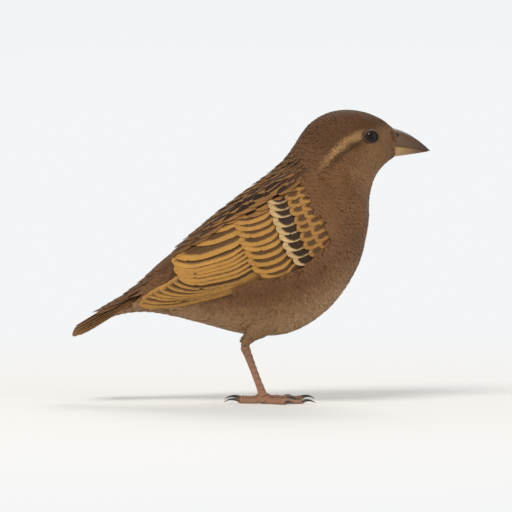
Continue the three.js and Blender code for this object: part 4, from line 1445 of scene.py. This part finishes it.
SKIN_VOXEL = 0.6  # edge of the cubes that the skin is fused from
SKIN_SOFTENING = 0.5, 4  # factor, and how many times


def build_skin():
    """One skin under the coat of body, thighs and wings, with the plumage's markings."""
    grid_t, grid_a = grid(np.linspace(0, FACE_END, 144), turns(96))
    here, _, _, normal, _, _ = tangents(body_point, grid_t, grid_a, -1)
    here = here - (coat_row(grid_t)[..., 2] * 0.92)[..., None] * normal
    u, v, lift = wing_place(here)
    bed = -0.9 - 0.9 * fall(u, 40, 52)
    lowered = between(np.minimum(lift, bed), bed, smooth(u, 38, 48))
    height = between(lift, lowered, smooth(in_wing(u, v), -1.5, 1.0))
    under = wing_point(u, v, height) * mirror_like(here)
    beside = (in_wing(u, v) > -1.5) & (np.abs(here[..., 1]) > MIDDLE_STRIP)
    shells = [np.where(beside[..., None], under, here)]
    for side in (1, -1):
        places = grid(np.linspace(0, 1, 24), turns(32))
        on_thigh, _, _, out, _, _ = tangents(thigh_surface(side), *places, 1)
        shells.append(on_thigh - 0.7 * out)
    shells += [wing_base(side) for side in (1, -1)]
    skin = join([skin_over(shell, f"shell_{k}") for k, shell in enumerate(shells)], "skin")
    remesh = skin.modifiers.new("one_skin", "REMESH")
    remesh.mode = "VOXEL"
    remesh.voxel_size = SKIN_VOXEL * MM
    soften = skin.modifiers.new("soften", "SMOOTH")
    soften.factor, soften.iterations = SKIN_SOFTENING
    settle(skin)
    mesh = skin.data
    up = taken(mesh.vertex_normals, "vector", 3)[:, 2]
    middle, fringe = markings(places_of(mesh), up)
    paint(mesh, "Middle", (middle + fringe) / 2)
    mesh.shade_smooth()
    dress(skin, BASE, "plumage", "head", "neck", "torso", "thigh_left", "thigh_right")


def wing_base(side):
    """Rings of the arm and hand of the wing, a closed lens under its feathers."""
    along, across = grid(np.linspace(0, 1, 40), np.linspace(0, 1, 24))
    u = WING_FRONT + 0.6 + 6.5 * np.abs(2 * across - 1) ** 2.5 * (1 - along)
    u = between(u, WING_CORE_END, along)
    low, high = wing_edges(u)
    v = low + 0.4 + (high - low - 0.8) * across
    upper = wing_point(u, v, shoulder(u, v) - 0.5)
    lower = wing_point(u, v, UNDER_WING - 1.2 * dome(across))
    return np.concatenate([upper, lower[:, ::-1]], axis=1) * [1, side, 1]


# ---- bill

def bill_half(upper, steps=110, sides=73):
    """Rings of one half of the bill, from its root to its tip, with the share along it."""
    sign = 1 if upper else -1
    k = np.linspace(0, 1, steps)
    s = 1 - (1 - k) ** 1.25
    reach = BILL.tip - BILL.root - (0 if upper else BILL.lower_short)
    x = BILL.root + reach * s
    culmen = between(BILL.culmen, BILL.tip_height, s ** 1.9)
    gonys = between(BILL.gonys, BILL.tip_height - 0.35, s ** 1.35)
    mouth = between(BILL.mouth, BILL.tip_height - 0.1, s)
    mouth = mouth + 0.4 * np.sin(np.pi * s)
    half = (1 if upper else 0.93) * BILL.half * (1 - s ** 1.5) + 0.16
    edge = mouth + (-0.1 if upper else 0.12)  # the upper half closes over the lower
    far = np.maximum(0.2, sign * ((culmen if upper else gonys) - edge))
    angle = np.linspace(0, np.pi, sides)
    ridge = 1 + 0.05 * bell(angle - np.pi / 2, 0.16) * (1 - s)[:, None]
    y = half[:, None] * np.cos(angle)
    z = edge[:, None] + sign * far[:, None] * np.sin(angle) ** 0.9 * ridge
    # The lower half is drawn in along its edge, so that it slips inside the upper.
    tuck = bell(np.minimum(angle, np.pi - angle), 0.16)
    y = y * (1 - (0.02 if upper else 0.10) * tuck)
    return stacked(x[:, None], y, z), s


def build_bill():
    """Both halves of the bill, with the nostrils sunk into the upper one."""
    for upper, name in ((True, "bill_upper"), (False, "bill_lower")):
        rings, s = bill_half(upper)
        along = np.broadcast_to(s[:, None], rings.shape[:2])
        height = (rings[..., 2] - rings[..., 2].min()) / np.ptp(rings[..., 2])
        if upper:
            colour = blend(HORN_BROWN, HORN_DARK, np.clip(0.2 + 0.8 * along, 0, 1))
            colour = blend(colour, HORN_DARK, 0.7 * smooth(height, 0.55, 0.95))
            for side in (1, -1):
                spot = np.array([NOSTRIL[0], side * NOSTRIL[1], NOSTRIL[2]])
                away = np.linalg.norm((rings - spot) / [0.8, 1.6, 0.5], axis=-1)
                rings[..., 1] -= side * 0.7 * bell(away, 1.0)  # the pit, and the rim round it
                rings[..., 1] += side * 0.16 * bell(away - 1.5, 0.45)
                # painted shade: the nostril's pit is darkened to near black
                colour = blend(colour, NOSTRIL_SHADE, fall(away, 0.55, 1.15))
        else:
            colour = blend(HORN_PALE, HORN_BROWN, smooth(along, 0.1, 0.8))
            colour = blend(colour, HORN_DARK, 0.7 * smooth(along, 0.6, 1.0))
        dress(skin_over(rings, f"{name}_horn", colour), HORN, "bill_horn", name)


# ---- eyes

def eye_place(x, out, z, side, forward):
    """Points given from the middle of an eye, turned to look a little forward."""
    c, s = math.cos(forward), math.sin(forward)
    return eye_center(side) + stacked(x * c + out * s, out * c - x * s, z) * [1, side, 1]


def build_eye(side, label):
    """The ball with its cornea, dark iris and pupil, and the ring of bare lids round it."""
    p, q = grid(np.linspace(0.02, np.pi - 0.02, 64), turns(72))
    radius = EYE.radius * (1 + 0.06 * bell(p, 0.55))  # with the cornea
    ball = eye_place(radius * np.sin(p) * np.cos(q), radius * np.cos(p),
                     radius * np.sin(p) * np.sin(q), side, EYE.ball_forward)
    away = np.sin(p) * EYE.radius
    colour = blend(PUPIL, IRIS, smooth(away, *EYE.pupil))
    colour = blend(colour, IRIS_EDGE, smooth(away, *EYE.iris))
    dress(skin_over(ball, f"eye_{label}_ball", colour), EYE_BALL, "eye", f"eye_{label}")

    a, b = grid(turns(96), turns(14))
    beads = 1 + 0.06 * np.cos(26 * a) * (np.cos(b) > 0)
    thick = 0.75 * EYE.lid * beads * (0.8 + 0.2 * np.abs(np.sin(a)))
    skirt = 2 * np.clip(np.cos(b), 0, 1) * np.clip(-np.sin(b), 0, 1)  # runs under the feathers
    ring = EYE.opening + thick * np.cos(b) + 0.4 * skirt
    out = EYE.proud + thick * np.sin(b) * 0.9 - 0.10 * np.cos(2 * a) - 0.7 * skirt
    lids = eye_place(ring * np.cos(a) * 1.12, out, ring * np.sin(a) * 0.96, side,
                     EYE.lids_forward)
    points = lids.reshape(-1, 3)
    faces = halves(grid_faces(*a.shape, wrap=True, loop=True))
    dress(make_object(f"lids_{label}", points, outward(points, faces)), LID, "plumage")


# ---- legs and feet

def toe_direction(yaw, side):
    """The way that a toe points over the ground."""
    turned = side * (LEG.turn_out - math.radians(yaw))
    return np.array([math.cos(turned), math.sin(turned), 0])


def limb(centers, radii, sides, shape=None):
    """Rings round a line of centers; shape(share along, angle) varies the radius."""
    level, rise = level_and_rise(unit(np.gradient(centers, axis=0)))
    angle = turns(sides)
    swell = 1.0 if shape is None else shape(np.linspace(0, 1, len(centers))[:, None], angle)
    reach = radii[:, None] * swell
    return (centers[:, None] + (reach * np.cos(angle))[..., None] * level[:, None]
            + (reach * np.sin(angle))[..., None] * rise[:, None])


def plates(share, count, depth):
    """A row of overlapping plates: each rises slowly along its length and drops at its end."""
    phase = (share * count) % 1
    return depth * (phase ** 1.5 * fall(phase, 0.86, 1.0) - 0.3)


SHANK_PLATES = 9
FOOT_PAD = np.array([2.0, 1.6, 1.2])  # half sizes
SLIVER = 0.003  # points of a foot nearer than this are joined


def toe_plates(toe):
    """How many plates a toe has along its top."""
    return round(toe[2] / 1.05)


def shank_rings(side):
    """The tarsus, from the heel into the pad of the foot, with plates down its front."""
    heel, ankle = leg_point(LEG.heel, side), leg_point(LEG.ankle, side)
    sunk = 1.07  # the shank runs on into the pad of the foot
    share = np.linspace(0, sunk, 235)
    centers = between(heel, ankle, share[:, None])
    swell = np.interp(share, [0, 0.03, 0.08, 0.2, 0.5, 0.8, 0.92, 1, sunk],
                      [0.55, 1.15, 1.32, 1.05, 0.90, 0.92, 1.05, 1.1, 0.6])

    def shape(s, angle):
        front = np.clip(np.sin(angle), 0, 1) ** 0.5
        back = np.clip(-np.sin(angle), 0, 1) ** 2
        plate = plates(s * sunk, SHANK_PLATES, 0.2) * fall(s * sunk, 0.9, 0.96)
        return 1 + front * plate + 0.1 * back

    return limb(centers, swell * LEG.shank, 28, shape)


def shin_rings(side):
    """The bare end of the limb between the feathers of the thigh and the heel."""
    _, end = thigh_line(side)
    heel = leg_point(LEG.heel, side)
    share = np.linspace(-0.6, 1, 30)
    centers = between(end, heel, share[:, None])
    return limb(centers, np.interp(share, [-0.6, 1], [1.35, 1.1]), 24)


def toe_rings(toe, side):
    """A toe, with plates along its top and pads under it."""
    _, yaw, length, radius, _, joints = toe
    ankle = leg_point(LEG.ankle, side)
    direction = toe_direction(yaw, side)
    share = np.linspace(0, 1, 130)
    start = 0.4  # from the middle of the foot
    knuckle = 0.09 * np.cos(2 * np.pi * joints * share)
    radii = radius * (1 - 0.16 * share) * (0.95 + knuckle)
    radii *= np.interp(share, [0, 0.03, 0.95, 1.0], [0.8, 1, 1, 0.55])
    centers = ankle * [1, 1, 0] + direction * (start + (length - start) * share)[:, None]
    centers[:, 2] = radii * TOE_FLAT + 0.9 * bell(share, 0.16)

    def shape(s, angle):
        top = np.clip(np.sin(angle), 0, 1) ** 0.5
        under = np.clip(-np.sin(angle), 0, 1)
        pads = 0.07 * np.cos(2 * np.pi * joints * 2 * s) * under
        return 1 + top * plates(s, toe_plates(toe), 0.18) + pads

    rings = limb(centers, radii, 24, shape)
    rings[..., 2] = np.maximum(rings[..., 2], 0.0)
    return rings


def crease_shade(places, side):
    """How much painted shade darkens the skin of a leg, from 0 to 1, in the crease where one of its
    plates meets the next.
    """
    heel, ankle = leg_point(LEG.heel, side), leg_point(LEG.ankle, side)
    lines = [(heel, ankle, SHANK_PLATES)]
    for toe in TOES:
        start = ankle * [1, 1, 0] + [0, 0, TOE_FLAT]
        lines.append((start, start + toe_direction(toe[1], side) * toe[2], toe_plates(toe)))
    nearest = np.full(len(places), np.inf)
    shade = np.zeros(len(places))
    for start, end, count in lines:
        share, from_line = beside_line(places, start, end)
        away = np.linalg.norm(from_line, axis=1)
        run = end - start
        front = np.cross(run, np.cross([0, 0, 1.0], run))
        facing = from_line @ front / np.linalg.norm(front) / (away + 0.01)
        phase = (share * count) % 1
        line = smooth(phase, 0.8, 0.92) * fall(phase, 0.97, 1.0) * smooth(facing, -0.7, 0.2)
        shade = np.where(away < nearest, line, shade)
        nearest = np.minimum(nearest, away)
    return shade


def build_foot(side, label):
    """Tarsus, foot pad and toes as one closed skin."""
    ankle = leg_point(LEG.ankle, side)
    polar, turn = grid(np.linspace(0.05, np.pi - 0.05, 26), turns(32))
    ball = stacked(np.sin(polar) * np.cos(turn), np.sin(polar) * np.sin(turn), np.cos(polar))
    pad = FOOT_PAD * ball + [ankle[0], ankle[1], FOOT_PAD[2]]
    rings = [shank_rings(side), pad, shin_rings(side), *(toe_rings(toe, side) for toe in TOES)]
    parts = [skin_over(part, f"foot_{label}_part_{k}") for k, part in enumerate(rings)]
    for part in parts:
        part.data.materials.append(LEG_SKIN)
    foot, *others = parts
    group = bpy.data.collections.new(f"foot_parts_{label}")
    for part in others:
        group.objects.link(part)
    union = foot.modifiers.new("one_foot", "BOOLEAN")
    union.operand_type, union.collection = "COLLECTION", group
    union.operation, union.solver = "UNION", "MANIFOLD"
    settle(foot)
    for part in others:
        bpy.data.objects.remove(part)
    bpy.data.collections.remove(group)
    mesh = foot.data
    merge_slivers(mesh, SLIVER * MM)
    mesh.shade_smooth()
    places = places_of(mesh)
    colour = blend(SOLE, TOE_TOP, smooth(places[:, 2], 0.2, 1.6))
    colour = blend(colour, SHANK, smooth(places[:, 2], 6, 20))
    # painted shade in the creases where the plates of the legs meet, on their fronts
    colour = blend(colour, PAINTED_CREASE_SHADE, 0.7 * crease_shade(places, side))
    paint(mesh, "Middle", colour)
    foot.name = mesh.name = f"foot_{label}"
    mesh.materials.clear()
    dress(foot, LEG_SKIN, "leg_skin", f"shank_{label}", *(f"toe_{label}_{toe[0]}" for toe in TOES))


def build_claw(toe, side, label):
    """A claw, bent down from the end of its toe to a point near the ground."""
    digit, yaw, length, radius, claw_length, _ = toe
    ankle = leg_point(LEG.ankle, side)
    direction = toe_direction(yaw, side)
    arc = claw_length / CLAW_BEND
    chord = 2 * arc * math.sin(CLAW_BEND / 2)
    base = radius * 0.88
    start = base * TOE_FLAT + 0.25
    rise = CLAW_BEND / 2 - math.asin((start - 0.32) / chord)
    share = np.linspace(0, 1, 46)
    sunk = -0.12  # the claw's root runs a little into the toe's end
    angle = rise - CLAW_BEND * (share + sunk * (1 - share))
    forward = arc * (math.sin(rise) - np.sin(angle))
    up = arc * (np.cos(angle) - math.cos(rise))
    centers = ankle * [1, 1, 0] + direction * (length + GAP + forward)[:, None]
    centers[:, 2] = start + up
    radii = (base * 0.8) * (1 - share ** 0.9) + 0.07

    def shape(_, around):
        return 1 - 0.2 * np.abs(np.cos(around)) - 0.12 * np.clip(-np.sin(around), 0, 1)

    rings = limb(centers, radii, 20, shape)
    rings[..., 2] = np.maximum(rings[..., 2], 0.02)
    along = np.broadcast_to(share[:, None], rings.shape[:2])
    made = skin_over(rings, f"claw_{label}_{digit}_horn",
                     blend(CLAW_PALE, CLAW_DARK, smooth(along, 0, 0.45)))
    dress(made, CLAW_HORN, "claw_horn", f"claw_{label}_{digit}")


# ---- stage

SKY_TONE, SKY_GLOW, SKY_TOP_GLOW = (0.98, 0.99, 1.0, 1.0), 0.92, 0.42
PICTURE = 512
MM_PER_PIXEL = 0.35  # how much of the bird one pixel of the picture shows
ORIGIN_PIXEL = (251, 402)  # where the picture shows x = 0, z = 0
LENS, SENSOR, CAMERA_TILT = 300.0, 36.0, math.radians(2.0)
FLOOR_RADII = [0.02, 0.2, 0.6, 1.5, 4.0, 9.0]  # in metres, as the places of the lamps
LAMPS = [  # name, place, size, power in watts, colour
    ("key", (-0.6, -1.0, 1.5), 0.8, 17.0, (1.0, 0.97, 0.93)),
    ("fill", (1.4, -0.9, 0.6), 1.2, 4.0, (0.96, 0.98, 1.0)),
    ("back", (0.3, 1.3, 1.4), 1.0, 11.0, (1.0, 0.99, 0.97)),
]
LAMP_AIM = Vector((0, 0, 0.05))


def place_in_scene(name, data, location):
    """An object of the stage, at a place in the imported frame."""
    holder = bpy.data.objects.new(name, data)
    holder.location = location
    bpy.context.scene.collection.objects.link(holder)
    return holder


def build_stage():
    """A pale floor that glows well away from the bird, under a pale sky, soft lights and the
    camera.
    """
    turn = turns(96)
    radius = np.array(FLOOR_RADII)[:, None]
    disc = stacked(radius * np.cos(turn), radius * np.sin(turn), 0.0)
    points = (np.vstack([disc.reshape(-1, 3), [[0, 0, 0]]]) - SHIFT) / MM
    faces = np.vstack([halves(grid_faces(len(radius), len(turn), wrap=True)),
                       fan(np.arange(len(turn)), len(points) - 1)])
    floor = make_object("stage_floor", points, faces)
    floor.data.materials.append(floor_material())

    sky = Nodes("studio", bpy.data.worlds, "Background")
    bpy.context.scene.world = sky.made
    way = sky.add("ShaderNodeTexCoord").outputs["Generated"]
    split = sky.add("ShaderNodeSeparateXYZ", {0: way})
    fade = sky.add("ShaderNodeMapRange", {"Value": split.outputs[2], "From Max": 0.7,
                                          "To Min": SKY_GLOW, "To Max": SKY_TOP_GLOW})
    sky.put(sky.shader.inputs["Color"], SKY_TONE)
    sky.put(sky.shader.inputs["Strength"], fade.outputs[0])

    for name, place, size, power, colour in LAMPS:
        lamp = bpy.data.lights.new(name, "AREA")
        lamp.shape, lamp.size, lamp.energy, lamp.color = "DISK", size, power, colour
        holder = place_in_scene(name, lamp, place)
        holder.rotation_mode = "QUATERNION"
        holder.rotation_quaternion = (LAMP_AIM - Vector(place)).to_track_quat("-Z", "Y")
        holder.visible_camera = False

    settings = bpy.context.scene.view_settings
    settings.view_transform, settings.look = "Standard", "None"
    settings.exposure, settings.gamma = 0.0, 1.0

    camera = bpy.data.cameras.new("camera")
    camera.lens, camera.sensor_width = LENS, SENSOR
    camera.clip_start, camera.clip_end = 0.05, 50
    away = PICTURE * MM_PER_PIXEL * MM * LENS / SENSOR
    x = (PICTURE / 2 - ORIGIN_PIXEL[0]) * MM_PER_PIXEL * MM + SHIFT[0]
    z = (ORIGIN_PIXEL[1] - PICTURE / 2) * MM_PER_PIXEL * MM + SHIFT[2]
    location = x, -away * math.cos(CAMERA_TILT), z + away * math.sin(CAMERA_TILT)
    holder = place_in_scene("camera", camera, location)
    holder.rotation_euler = (math.pi / 2 - CAMERA_TILT, 0, 0)
    bpy.context.scene.camera = holder


# ---- the bird

build_stage()
build_skin()
body_coat()
face_edge()
mantle()
for side, label in ((1, "left"), (-1, "right")):
    build_wing(side, label)
    thigh_coat(side, f"coat_thigh_{label}")
    build_eye(side, label)
    build_foot(side, label)
    for toe in TOES:
        build_claw(toe, side, label)
build_tail()
tail_coverts(True, "tail_coverts_above")
tail_coverts(False, "tail_coverts_below")
build_bill()
